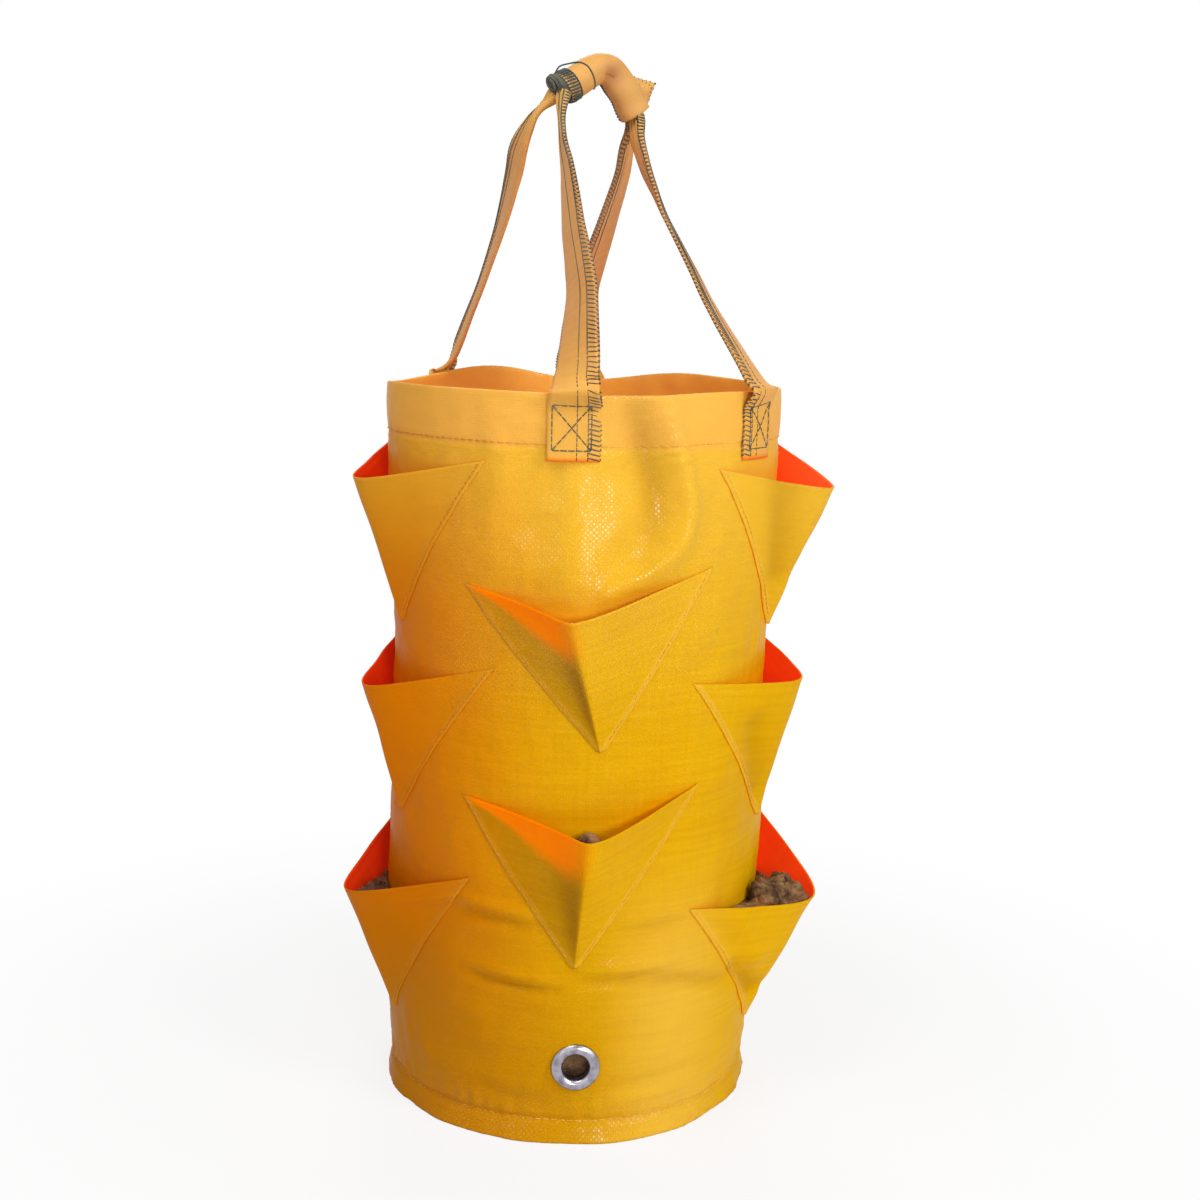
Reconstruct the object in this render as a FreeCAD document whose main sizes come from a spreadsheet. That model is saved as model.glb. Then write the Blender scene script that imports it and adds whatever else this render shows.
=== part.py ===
import FreeCAD, Part
import Sketcher
import math
import os

# A hanging grow bag of laminated woven fabric: a tapered tube with a hem, a round base,
# ten triangular pocket flaps, a drain eyelet, two strap handles and a hand wrap.
# Millimetres, +Z up, origin under the middle of the base, the eyelet faces -Y.
# An azimuth is an angle in degrees from -Y towards +X.

# Driving sizes
SIZES = [
    ("rim_radius", 98, "outer face of the wall at the rim"),
    ("base_radius", 92, "outer face of the wall at its lower edge"),
    ("bag_height", 358, "lower edge to rim"),
    ("fabric", 1.0, "thickness that one layer of fabric is modelled with"),
    ("sewn_gap", 0.2, "room between two layers that are sewn together"),
    ("hem_depth", 24, "rim turned to the inside"),
    ("seam_width", 20, "strip that closes the tube"),
    ("seam_azimuth", 125, "where the tube closes"),
    ("base_lift", 9, "base disc above the lower edge, the depth of the bottom seam"),
    ("pocket_half_angle", 37, "half of a flap's width at its mouth, seen from above"),
    ("pocket_height", 82, "mouth corner down to the flap's point"),
    ("pocket_reach", 23, "mouth tip out from the wall"),
    ("mouth_drop", 13, "mouth tip below the mouth corners"),
    ("first_pocket", 34, "rim down to the top pockets' mouth corners"),
    ("pocket_step", 51, "one row of mouth corners to the next"),
    ("side_azimuth", 70, "left and right columns of pockets, from the front one"),
    ("cutout_radius", 25, "triangle cut in the wall behind a flap, centre to corner"),
    ("cutout_drop", 38, "mouth corners down to the centre of that triangle"),
    ("eyelet_height", 38, "lower edge to the eyelet's middle"),
    ("eyelet_bore", 6.3, "radius of the drain hole"),
    ("eyelet_wall", 0.6, "sheet metal of the eyelet"),
    ("eyelet_flange", 11.5, "outer radius of both rings"),
    ("eyelet_crown", 2.2, "height of the rolled ring"),
    ("washer_thickness", 1.2, "ring inside the wall"),
    ("clench_lip", 1.4, "barrel turned out over the washer"),
    ("eyelet_fit", 0.3, "room round the barrel in wall and washer"),
    ("strap_width", 24, "folded strap at its sewn end"),
    ("strap_thickness", 1.6, "folded strap"),
    ("tab_below_rim", 31, "sewn end of a strap under the rim"),
    ("tab_above_rim", 5, "where a strap starts to swing"),
    ("hinge_room", 0.5, "end of a tab to its handle's swing axis"),
    ("front_handle_azimuth", 24.5, "middle of the front handle"),
    ("front_handle_half", 29.5, "its middle to each leg"),
    ("rear_handle_azimuth", 200, "middle of the rear handle"),
    ("rear_handle_half", 26, "its middle to each leg"),
    ("grip_left_x", -14, "left end of the grip"),
    ("grip_left_y", -8, "left end of the grip"),
    ("grip_left_rise", 142, "left end of the grip above the rim"),
    ("grip_peak_x", 4, "top of the grip's arch"),
    ("grip_peak_y", 0.5, "top of the grip's arch"),
    ("grip_peak_rise", 152, "top of the grip's arch above the rim"),
    ("grip_right_x", 27.5, "right end of the grip"),
    ("grip_right_y", 12, "right end of the grip"),
    ("grip_right_rise", 131, "right end of the grip above the rim"),
    ("strand_width", 6, "gathered strap in the grip, upright"),
    ("strand_thickness", 4.6, "gathered strap in the grip, front to rear"),
    ("strand_gap", 0.4, "between the two gathered straps"),
    ("wrap_bore", 6.0, "inner radius of the hand wrap"),
    ("wrap_lip", 65, "angle from the open rear side to each lip of the wrap"),
    ("binding_depth", 1.3, "thread ring on the wrap, outwards"),
    ("binding_length", 6, "thread ring along the wrap"),
    ("box_width", 18, "box of stitches on a tab"),
    ("box_height", 20, "box of stitches on a tab"),
    ("box_below_rim", 17, "rim down to the middle of the box"),
    ("thread", 0.7, "sewing thread, side of its modelled bar"),
    ("soil_level", 150, "lower edge to the top of the soil"),
    ("soil_room", 5, "soil to the inside of the wall, clear of the eyelet"),
    ("soil_below_mouth", 4, "soil in a pocket below its mouth tip"),
    ("rest_gap", 0.3, "room between soft pieces that lie on each other"),
]

doc = FreeCAD.newDocument("hanging_grow_bag")
sheet = doc.addObject("Spreadsheet::Sheet", "sizes")
for row, (alias, value, note) in enumerate(SIZES, start=1):
    sheet.set("A%d" % row, note)
    sheet.set("B%d" % row, str(value))
    sheet.setAlias("B%d" % row, alias)
doc.recompute()

NODES = []


def size(alias):
    return float(sheet.get(alias))


def keep(obj, label):
    """Give a sub-part its name and list it for writing."""
    obj.Label = label
    NODES.append(obj)
    return obj


def wall_at(z):
    """Outer radius of the wall at height z, as a number."""
    slope = (size("rim_radius") - size("base_radius")) / size("bag_height")
    return size("base_radius") + slope * z


def wall_expression(z, offset):
    """Radius of the wall at height z plus an offset, as an expression."""
    slope = "(sizes.rim_radius - sizes.base_radius) / sizes.bag_height"
    return "sizes.base_radius + %s * (%s) + (%s)" % (slope, z, offset)


def polar(radius, azimuth, z):
    angle = math.radians(azimuth)
    return FreeCAD.Vector(radius * math.sin(angle), -radius * math.cos(angle), z)


def bind(obj, **expressions):
    for name, expression in expressions.items():
        obj.setExpression(name, expression)
    return obj


def frustum(name, low, high, offset):
    """A cone that follows the wall from height low to high, moved out by offset."""
    obj = doc.addObject("Part::Cone", name)
    bind(obj, Radius1=wall_expression(low, offset), Radius2=wall_expression(high, offset))
    bind(obj, Height="(%s) - (%s)" % (high, low))
    obj.setExpression("Placement.Base.z", low)
    return obj


def layer(name, low, high, outer, inner):
    """A layer of fabric that follows the wall, between two offsets from its outer face."""
    cut = doc.addObject("Part::Cut", name)
    cut.Base = frustum(name + "_outside", low, high, outer)
    cut.Tool = frustum(name + "_inside", low, high, inner)
    return cut


def layer_patch(name, low, high, outer, inner, width, azimuth):
    """A part of such a layer, as wide as given along the rim and centred on an azimuth."""
    cut = layer(name, low, high, outer, inner)
    turn = "(%s) / sizes.rim_radius * 180 / pi" % width
    bind(cut.Base, Angle=turn)
    cut.Base.Placement.Rotation = FreeCAD.Rotation(FreeCAD.Vector(0, 0, 1), 0)
    cut.Base.setExpression("Placement.Rotation.Angle", "(%s) - 90 - (%s) / 2" % (azimuth, turn))
    return cut


# Pockets: column name, azimuth, and the row of mouth corners that each pocket takes
SIDE_ROWS = {"upper": 0, "middle": 2, "lower": 4}
FACE_ROWS = {"upper": 1, "lower": 3}
COLUMNS = [
    ("front", 0, FACE_ROWS),
    ("left", -size("side_azimuth"), SIDE_ROWS),
    ("right", size("side_azimuth"), SIDE_ROWS),
    ("back", 180, FACE_ROWS),
]


def corner_height(row):
    return size("bag_height") - size("first_pocket") - row * size("pocket_step")


# Wall: a tapered tube with a triangle cut out behind each flap and a hole for the eyelet
INSIDE = "-sizes.fabric"
tube = layer("tube", "0", "sizes.bag_height", "0", INSIDE)
cutters = []
for column, azimuth, rows in COLUMNS:
    for row_name, row in rows.items():
        prism = doc.addObject("Part::Prism", "cutout_%s_%s" % (column, row_name))
        prism.Polygon = 3
        bind(prism, Circumradius="sizes.cutout_radius", Height="sizes.rim_radius")
        outwards = polar(1, azimuth, 0)
        down = FreeCAD.Vector(0, 0, -1)
        turn = FreeCAD.Rotation(down, outwards.cross(down), outwards, "ZXY")
        start = outwards * (size("base_radius") / 2)
        start.z = corner_height(row) - size("cutout_drop")
        prism.Placement = FreeCAD.Placement(start, turn)
        cutters.append(prism)
drain = doc.addObject("Part::Cylinder", "eyelet_hole")
bind(drain, Radius="sizes.eyelet_bore + sizes.eyelet_wall + sizes.eyelet_fit")
bind(drain, Height="max(sizes.base_radius; sizes.rim_radius) + sizes.eyelet_flange")
FACE_FRONT = FreeCAD.Rotation(FreeCAD.Vector(1, 0, 0), 90)
drain.Placement = FreeCAD.Placement(FreeCAD.Vector(0, 0, size("eyelet_height")), FACE_FRONT)
cutters.append(drain)
cut_tools = doc.addObject("Part::MultiFuse", "wall_cutters")
cut_tools.Shapes = cutters
wall = doc.addObject("Part::Cut", "wall")
wall.Base = tube
wall.Tool = cut_tools
keep(wall, "side_wall")

# Rim hem and closing seam: second layers on the inside of the wall
UNDER_WALL = "-sizes.fabric - sizes.sewn_gap"
SECOND_LAYER = "-2 * sizes.fabric - sizes.sewn_gap"
HEM_LOW = "sizes.bag_height - sizes.hem_depth"
keep(layer("hem", HEM_LOW, "sizes.bag_height", UNDER_WALL, SECOND_LAYER), "rim_hem")
SEAM_LOW = "sizes.base_lift + sizes.fabric + sizes.sewn_gap"
SEAM_HIGH = HEM_LOW + " - sizes.sewn_gap"
seam = layer_patch("seam", SEAM_LOW, SEAM_HIGH, UNDER_WALL, SECOND_LAYER, "sizes.seam_width",
                   "sizes.seam_azimuth")
keep(seam, "side_seam_strip")

# Base: a disc whose edge turns down inside the wall's lower edge
BASE_TOP = "sizes.base_lift + sizes.fabric"
disc = frustum("base_block", "0", BASE_TOP, UNDER_WALL)
hollow = frustum("base_hollow", "0", "sizes.base_lift", SECOND_LAYER)
base = doc.addObject("Part::Cut", "base")
base.Base = disc
base.Tool = hollow
keep(base, "base_panel")


# Eyelet and washer: turned profiles on the drain axis, in the wall's lower front
def turned_ring(name, corners):
    """A body of revolution about its own Z. Each corner is a pair of expressions: radius, height."""
    body = doc.addObject("PartDesign::Body", name)
    sketch = body.newObject("Sketcher::SketchObject", name + "_profile")
    plane = [f for f in body.Origin.OriginFeatures if f.Role == "XZ_Plane"][0]
    sketch.AttachmentSupport = (plane, [""])
    sketch.MapMode = "FlatFace"
    places = [FreeCAD.Vector(sheet.evalExpression(r), sheet.evalExpression(h), 0) for r, h in corners]
    count = len(places)
    for index in range(count):
        sketch.addGeometry(Part.LineSegment(places[index], places[(index + 1) % count]), False)
    for index in range(count):
        sketch.addConstraint(Sketcher.Constraint("Coincident", index, 2, (index + 1) % count, 1))
    for index, (radius, height) in enumerate(corners):
        across = sketch.addConstraint(Sketcher.Constraint("DistanceX", index, 1, places[index].x))
        sketch.setExpression("Constraints[%d]" % across, radius)
        along = sketch.addConstraint(Sketcher.Constraint("DistanceY", index, 1, places[index].y))
        sketch.setExpression("Constraints[%d]" % along, height)
    turned = body.newObject("PartDesign::Revolution", name + "_turned")
    turned.Profile = sketch
    turned.ReferenceAxis = (sketch, ["V_Axis"])
    turned.Angle = 360
    return body


# The washer lies on the chord of the curved wall, and the rolled ring on its crown
LOW_EDGE = wall_expression("sizes.eyelet_height - sizes.eyelet_flange", "0")
HIGH_EDGE = wall_expression("sizes.eyelet_height + sizes.eyelet_flange", "0")
CROWN = "max(%s; %s) + sizes.sewn_gap" % (LOW_EDGE, HIGH_EDGE)
HOLLOW = "min(%s; %s) - sizes.fabric" % (LOW_EDGE, HIGH_EDGE)
WASHER_FACE = "sqrt((%s)^2 - sizes.eyelet_flange^2) - sizes.sewn_gap" % HOLLOW
WASHER_BACK = "%s - sizes.washer_thickness" % WASHER_FACE
BARREL_END = "%s - sizes.sewn_gap - sizes.eyelet_wall" % WASHER_BACK
BARREL = "sizes.eyelet_bore + sizes.eyelet_wall"
SEAT = "(%s) - (%s)" % (CROWN, BARREL_END)
MID_RING = "(sizes.eyelet_bore + sizes.eyelet_flange) / 2"
eyelet = turned_ring("eyelet_body", [
    ("sizes.eyelet_bore", "0"),
    (BARREL + " + sizes.clench_lip", "0"),
    (BARREL + " + sizes.clench_lip", "sizes.eyelet_wall"),
    (BARREL, "sizes.eyelet_wall"),
    (BARREL, SEAT),
    ("sizes.eyelet_flange", SEAT),
    ("sizes.eyelet_flange", SEAT + " + sizes.eyelet_crown / 3"),
    (MID_RING + " + sizes.eyelet_wall", SEAT + " + sizes.eyelet_crown"),
    (MID_RING + " - sizes.eyelet_wall", SEAT + " + sizes.eyelet_crown"),
    ("sizes.eyelet_bore", SEAT + " + sizes.eyelet_crown / 3"),
])
washer = turned_ring("washer_body", [
    (BARREL + " + sizes.eyelet_fit", "0"),
    ("sizes.eyelet_flange", "0"),
    ("sizes.eyelet_flange", "sizes.washer_thickness"),
    (BARREL + " + sizes.eyelet_fit", "sizes.washer_thickness"),
])
for body, label, face in ((eyelet, "eyelet", BARREL_END), (washer, "eyelet_washer", WASHER_BACK)):
    body.Placement = FreeCAD.Placement(FreeCAD.Vector(0, 0, size("eyelet_height")), FACE_FRONT)
    body.setExpression("Placement.Base.y", "-(%s)" % face)
    keep(body, label)

# Strap tabs: the sewn ends of the two handles, on the outside under the rim
HANDLES = {
    "front": (size("front_handle_azimuth"), size("front_handle_half")),
    "rear": (size("rear_handle_azimuth"), size("rear_handle_half")),
}
TABS = [
    ("front_strap_tab", "front", -1),
    ("right_strap_tab", "front", 1),
    ("back_strap_tab", "rear", -1),
    ("left_strap_tab", "rear", 1),
]
TAB_LOW = "sizes.bag_height - sizes.tab_below_rim"
TAB_HIGH = "sizes.bag_height + sizes.tab_above_rim"
OVER_TAB = "sizes.sewn_gap + sizes.strap_thickness"
for label, handle, side in TABS:
    azimuth = "sizes.%s_handle_azimuth + (%d) * sizes.%s_handle_half" % (handle, side, handle)
    tab = layer_patch(label + "_layer", TAB_LOW, TAB_HIGH, OVER_TAB, "sizes.sewn_gap",
                      "sizes.strap_width", azimuth)
    keep(tab, label)


# Box and cross of stitches on each tab
def stitch_bar(name, azimuth, across, up, slope, length):
    """A bar of thread on a tab's face, turned by slope degrees from level."""
    bar = doc.addObject("Part::Box", name)
    bind(bar, Length=length, Width="sizes.thread", Height="sizes.thread")
    doc.recompute()
    outwards = polar(1, azimuth, 0)
    sideways = polar(1, azimuth + 90, 0)
    angle = math.radians(slope)
    along = sideways * math.cos(angle) + FreeCAD.Vector(0, 0, math.sin(angle))
    crosswise = along.cross(outwards)
    face = size("rim_radius") + 2 * size("sewn_gap") + size("strap_thickness")
    middle = outwards * face + sideways * across
    middle.z = size("bag_height") - size("box_below_rim") + up
    corner = middle - along * (bar.Length.Value / 2) - crosswise * (bar.Height.Value / 2)
    bar.Placement = FreeCAD.Placement(corner, FreeCAD.Rotation(along, outwards, crosswise, "XYZ"))
    return bar


DIAGONAL = "sqrt(sizes.box_width^2 + sizes.box_height^2)"
lean = math.degrees(math.atan2(size("box_height"), size("box_width")))
half_width = size("box_width") / 2
half_height = size("box_height") / 2
boxes = []
for label, handle, side in TABS:
    middle, half = HANDLES[handle]
    azimuth = middle + side * half
    bars = [
        stitch_bar(label + "_top", azimuth, 0, half_height, 0, "sizes.box_width + sizes.thread"),
        stitch_bar(label + "_bottom", azimuth, 0, -half_height, 0, "sizes.box_width + sizes.thread"),
        stitch_bar(label + "_near", azimuth, -half_width, 0, 90, "sizes.box_height"),
        stitch_bar(label + "_far", azimuth, half_width, 0, 90, "sizes.box_height"),
        stitch_bar(label + "_rising", azimuth, 0, 0, lean, DIAGONAL),
        stitch_bar(label + "_falling", azimuth, 0, 0, -lean, DIAGONAL),
    ]
    box = doc.addObject("Part::MultiFuse", label + "_box")
    box.Shapes = bars
    boxes.append(box)
stitching = doc.addObject("Part::Compound", "stitching")
stitching.Links = boxes
keep(stitching, "tab_stitching")

# Soil in the bag
SOIL_LOW = BASE_TOP + " + sizes.rest_gap"
keep(frustum("soil", SOIL_LOW, "sizes.soil_level", "-sizes.fabric - sizes.soil_room"), "soil_fill")


def feature(label, shape):
    """A sub-part whose shape is worked out point by point."""
    obj = doc.addObject("Part::Feature", label)
    obj.Shape = shape
    return keep(obj, label)


def shares(first, last, count):
    return [first + (last - first) * index / (count - 1) for index in range(count)]


def skin(outlines):
    """A closed solid through outlines of straight edges, with flat ends."""
    wires = [Part.makePolygon(outline + outline[:1]) for outline in outlines]
    return Part.makeLoft(wires, True, True)


# Pocket flaps: two facets that meet in a ridge. The ridge runs from the flap's point on the wall
# out to its mouth tip, and each seam rises evenly round the wall from that point to a mouth corner.
def wall_block(room):
    """The whole bag as one solid, with room around it, which trims what lies on the wall."""
    low = -size("pocket_reach")
    high = size("bag_height") + size("pocket_reach")
    return Part.makeCone(wall_at(low) + room, wall_at(high) + room, high - low, FreeCAD.Vector(0, 0, low))


def flap_line(azimuth, row, share, inset, into_wall):
    """Seam, ridge and seam of a flap at a share of the way from its point to its mouth.

    The line lies inset mm inside the flap's outer face, and its ends into_wall mm deeper.
    """
    low = corner_height(row) - size("pocket_height")
    seam_z = low + share * size("pocket_height")
    seam_radius = wall_at(seam_z) + size("sewn_gap") + size("fabric")
    ridge_radius = seam_radius + share * size("pocket_reach")
    drop = share * size("mouth_drop")
    turn = share * size("pocket_half_angle")
    chord = seam_radius * math.cos(math.radians(turn))
    end_radius = seam_radius - inset - into_wall
    places = []
    for sign, radius in ((-1, end_radius), (0, ridge_radius - inset), (1, end_radius)):
        along = radius * math.cos(math.radians(sign * turn))
        z = seam_z - drop * (along - chord) / (ridge_radius - chord)
        places.append(polar(radius, azimuth + sign * turn, z))
    return places


POINT_SHARE = 0.03
FLAP_STATION_COUNT = 6
SOIL_POINT_SHARE = 0.15
SOIL_STATION_COUNT = 4


def flap(azimuth, row):
    outlines = []
    for share in shares(POINT_SHARE, 1, FLAP_STATION_COUNT):
        outer = flap_line(azimuth, row, share, 0, 0)
        inner = flap_line(azimuth, row, share, size("fabric"), 0)
        outlines.append(outer + inner[::-1])
    return skin(outlines).cut(wall_block(size("sewn_gap")))


def pocket_soil(azimuth, row):
    """Soil that fills a flap to just under its mouth, trimmed at the wall."""
    full = 1 - size("soil_below_mouth") / size("pocket_height")
    inset = size("fabric") + size("rest_gap")
    depth = size("soil_room")
    steps = shares(SOIL_POINT_SHARE, full, SOIL_STATION_COUNT)
    heap = skin([flap_line(azimuth, row, share, inset, depth) for share in steps])
    return heap.cut(wall_block(size("rest_gap")))


for column, azimuth, rows in COLUMNS:
    for row_name, row in rows.items():
        feature("%s_%s_pocket" % (column, row_name), flap(azimuth, row))
        if row_name == "lower":
            feature(column + "_pocket_soil", pocket_soil(azimuth, row))

# Grip: an arc through its left end, its peak and its right end
rim = size("bag_height")
grip_left, grip_peak, grip_right = [
    FreeCAD.Vector(size("grip_%s_x" % end), size("grip_%s_y" % end), rim + size("grip_%s_rise" % end))
    for end in ("left", "peak", "right")
]
grip_arc = Part.Arc(grip_left, grip_peak, grip_right)
span = grip_right - grip_left
FRONT = FreeCAD.Vector(span.y, -span.x, 0).normalize()
GRIP_STATION_COUNT = 6


def grip_frame(share):
    """Place, direction and upright of the grip at a share of its length from the left end."""
    at = grip_arc.FirstParameter + share * (grip_arc.LastParameter - grip_arc.FirstParameter)
    along = FreeCAD.Vector(*grip_arc.tangent(at)[0])
    upright = FRONT.cross(along).normalize()
    if upright.z < 0:
        upright = upright * -1
    return grip_arc.value(at), along, upright


def oblong(middle, wide, deep, width, depth):
    """Corners of a strap's section."""
    signs = ((-1, -1), (1, -1), (1, 1), (-1, 1))
    return [middle + wide * (i * width / 2) + deep * (j * depth / 2) for i, j in signs]


# Legs: share of the way from foot to grip, width as a share of the strap, thickness as a share
# of the step from the strap's thickness to the gathered one
LEG_STATIONS = ((0.04, 1.0, 0.0), (0.5, 0.72, 0.0), (0.9, 0.36, 0.6))
FOOT_THICKNESS_SHARE = 0.4


def handle(name, side):
    """One strap from foot to foot: two legs that narrow upwards and the gathered grip between."""
    middle, half = HANDLES[name]
    hinge = rim + size("tab_above_rim") + size("hinge_room")
    radius = wall_at(rim) + size("sewn_gap") + size("strap_thickness") / 2
    feet = [polar(radius, middle + sign * half, hinge) for sign in (-1, 1)]
    if side < 0:
        feet.reverse()
    chord = (feet[1] - feet[0]).normalize()
    offset = FRONT * (side * (size("strand_gap") + size("strand_thickness")) / 2)
    thin = size("strap_thickness")
    gathered = size("strand_thickness")
    ends = [grip_frame(share)[0] + offset for share in (0, 1)]
    legs = []
    for foot, end in zip(feet, ends):
        along = end - foot
        deep = chord.cross(along).normalize()
        lift = along * (size("hinge_room") / 2 / along.Length)
        leg = [oblong(foot + lift, chord, deep, size("strap_width"), thin * FOOT_THICKNESS_SHARE)]
        for share, narrow, gather in LEG_STATIONS:
            depth = thin + gather * (gathered - thin)
            leg.append(oblong(foot + along * share, chord, deep, size("strap_width") * narrow, depth))
        legs.append(leg)
    grip = []
    for share in shares(0, 1, GRIP_STATION_COUNT):
        place, along, upright = grip_frame(share)
        across = along.cross(FRONT).normalize()
        grip.append(oblong(place + offset, across, FRONT, size("strand_width"), gathered))
    return skin(legs[0] + grip + legs[1][::-1])


RING_POINT_COUNT = 13


def open_ring(share, inner, outer):
    """Section of the wrap: a ring round the grip that is open towards the rear."""
    place, along, upright = grip_frame(share)
    lip = size("wrap_lip")
    turns = [math.radians(angle) for angle in shares(lip, 360 - lip, RING_POINT_COUNT)]
    arms = [upright * math.sin(turn) - FRONT * math.cos(turn) for turn in turns]
    return [place + arm * outer for arm in arms] + [place + arm * inner for arm in reversed(arms)]


feature("front_handle_strap", handle("front", 1))
feature("rear_handle_strap", handle("rear", -1))

# Hand wrap: that ring carried along the grip
wrap_steps = shares(0, 1, GRIP_STATION_COUNT)
wrap_outer = size("wrap_bore") + size("fabric")
feature("hand_wrap", skin([open_ring(share, size("wrap_bore"), wrap_outer) for share in wrap_steps]))

# Thread ring on the wrap's first stretch, at its left end
ring_inner = wrap_outer + size("sewn_gap")
ring_outer = ring_inner + size("binding_depth")
ring_start, stretch_end = [open_ring(share, ring_inner, ring_outer) for share in wrap_steps[:2]]
ring_share = size("binding_length") / (wrap_steps[1] * grip_arc.length())
ring_end = [first + (last - first) * ring_share for first, last in zip(ring_start, stretch_end)]
feature("wrap_binding", skin([ring_start, ring_end]))

# Check every object, then write each sub-part
doc.recompute()
for obj in doc.Objects:
    if "Invalid" in obj.State or "Error" in obj.State:
        raise RuntimeError("%s failed: %s" % (obj.Name, obj.State))
for obj in NODES:
    if obj.Shape.isNull() or not obj.Shape.isValid() or not obj.Shape.Solids:
        raise RuntimeError("%s has no valid solid" % obj.Label)
os.makedirs("parts", exist_ok=True)
for obj in NODES:
    obj.Shape.exportStep("parts/%s.step" % obj.Label)
    print("%-20s %d solids %10.1f mm3" % (obj.Label, len(obj.Shape.Solids), obj.Shape.Volume))
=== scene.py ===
# %% [markdown]
# # A hanging grow bag
# The bag is a tall tube of yellow laminated woven cloth with triangular pockets sewn on, two strap
# handles that meet in a hand wrap, and one metal eyelet to let water out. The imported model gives
# the places and the moving bodies. This lesson dresses it, piece by piece.

import math

import bpy
import numpy as np
from mathutils import Matrix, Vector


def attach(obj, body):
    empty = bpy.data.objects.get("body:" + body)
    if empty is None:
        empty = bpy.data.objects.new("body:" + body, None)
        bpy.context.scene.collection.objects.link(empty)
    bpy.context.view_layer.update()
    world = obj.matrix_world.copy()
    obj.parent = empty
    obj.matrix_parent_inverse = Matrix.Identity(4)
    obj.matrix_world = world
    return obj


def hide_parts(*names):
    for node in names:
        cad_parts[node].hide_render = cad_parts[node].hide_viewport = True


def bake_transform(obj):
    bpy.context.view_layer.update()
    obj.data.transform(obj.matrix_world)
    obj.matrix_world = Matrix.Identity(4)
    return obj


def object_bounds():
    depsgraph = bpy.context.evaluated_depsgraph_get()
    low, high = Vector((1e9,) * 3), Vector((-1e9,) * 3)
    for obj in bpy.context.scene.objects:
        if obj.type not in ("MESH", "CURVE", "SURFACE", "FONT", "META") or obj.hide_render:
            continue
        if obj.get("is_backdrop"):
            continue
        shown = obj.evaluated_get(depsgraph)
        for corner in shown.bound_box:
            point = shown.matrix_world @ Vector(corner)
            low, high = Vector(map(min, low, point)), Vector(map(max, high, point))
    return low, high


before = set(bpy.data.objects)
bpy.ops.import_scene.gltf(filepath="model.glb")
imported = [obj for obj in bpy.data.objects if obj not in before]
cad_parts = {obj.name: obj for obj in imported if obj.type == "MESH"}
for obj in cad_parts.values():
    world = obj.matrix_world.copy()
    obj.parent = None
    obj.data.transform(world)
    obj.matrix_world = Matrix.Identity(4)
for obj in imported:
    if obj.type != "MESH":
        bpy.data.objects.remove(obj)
cad_low, cad_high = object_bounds()

# %% [markdown]
# ## The camera
# The photograph is taken from a little above the rim, 90 cm away, and the camera is rolled by a
# degree and a half. One could place the camera by eye; here its place comes from the ellipse of
# the rim and the curve of the base, so the angle, the height and the lens are numbers.

# %% Camera at the photograph's angle
MM = 0.001
EYE_DISTANCE = 900 * MM
EYE_HEIGHT = 401.5 * MM
EYE_AZIMUTH = math.radians(-2.5)
PITCH, YAW, ROLL = (math.radians(angle) for angle in (9.66, 0.68, 1.58))
LENS = 53.88


def turn_about_z(vector, angle):
    """The vector turned about the upright axis."""
    c, s = math.cos(angle), math.sin(angle)
    return np.array([c * vector[0] - s * vector[1], s * vector[0] + c * vector[1], vector[2]])


ahead = np.array([math.sin(YAW) * math.cos(PITCH), math.cos(YAW) * math.cos(PITCH), -math.sin(PITCH)])
aside = np.cross(ahead, (0, 0, 1))
aside /= np.linalg.norm(aside)
above = np.cross(aside, ahead)
aside, above = (math.cos(ROLL) * aside + math.sin(ROLL) * above,
                math.cos(ROLL) * above - math.sin(ROLL) * aside)
eye = np.array([0.0, -EYE_DISTANCE, EYE_HEIGHT])
columns = [turn_about_z(v, EYE_AZIMUTH) for v in (aside, above, -ahead, eye)]

camera_data = bpy.data.cameras.new("camera")
camera_data.lens = LENS
camera_data.sensor_width = 36.0
camera = bpy.data.objects.new("camera", camera_data)
bpy.context.scene.collection.objects.link(camera)
pose = np.eye(4)
pose[:3, :] = np.stack(columns, axis=1)
camera.matrix_world = Matrix(pose.tolist())
bpy.context.scene.camera = camera
bpy.context.scene.view_settings.view_transform = "Standard"
print("camera at", [round(float(v), 3) for v in columns[3]])

# %% [markdown]
# ## Writing shaders as sums
# A finish is a small network of nodes. Adding each node by hand is long, so one class wraps an
# output socket and turns Python operators into Math nodes, and one method makes any other node.

# %% Shader helpers


class Wire:
    """An output socket of a network; an operator on it adds one Math node."""

    def __init__(self, network, socket):
        self.network = network
        self.socket = socket

    def math(self, operation, *values):
        """A Math node with this operation on the values."""
        return self.network.node("ShaderNodeMath", {"operation": operation}, dict(enumerate(values)))

    def __add__(self, other):
        return self.math("ADD", self, other)

    def __radd__(self, other):
        return self.math("ADD", other, self)

    def __sub__(self, other):
        return self.math("SUBTRACT", self, other)

    def __rsub__(self, other):
        return self.math("SUBTRACT", other, self)

    def __mul__(self, other):
        return self.math("MULTIPLY", self, other)

    def __rmul__(self, other):
        return self.math("MULTIPLY", other, self)

    def __abs__(self):
        return self.math("ABSOLUTE", self)

    def sine(self):
        return self.math("SINE", self)

    def step(self, low, high):
        """0 below low, 1 above high, smooth between them."""
        return self.network.node("ShaderNodeMapRange", {"interpolation_type": "SMOOTHSTEP"},
                                 {"Value": self, "From Min": low, "From Max": high})


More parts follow.
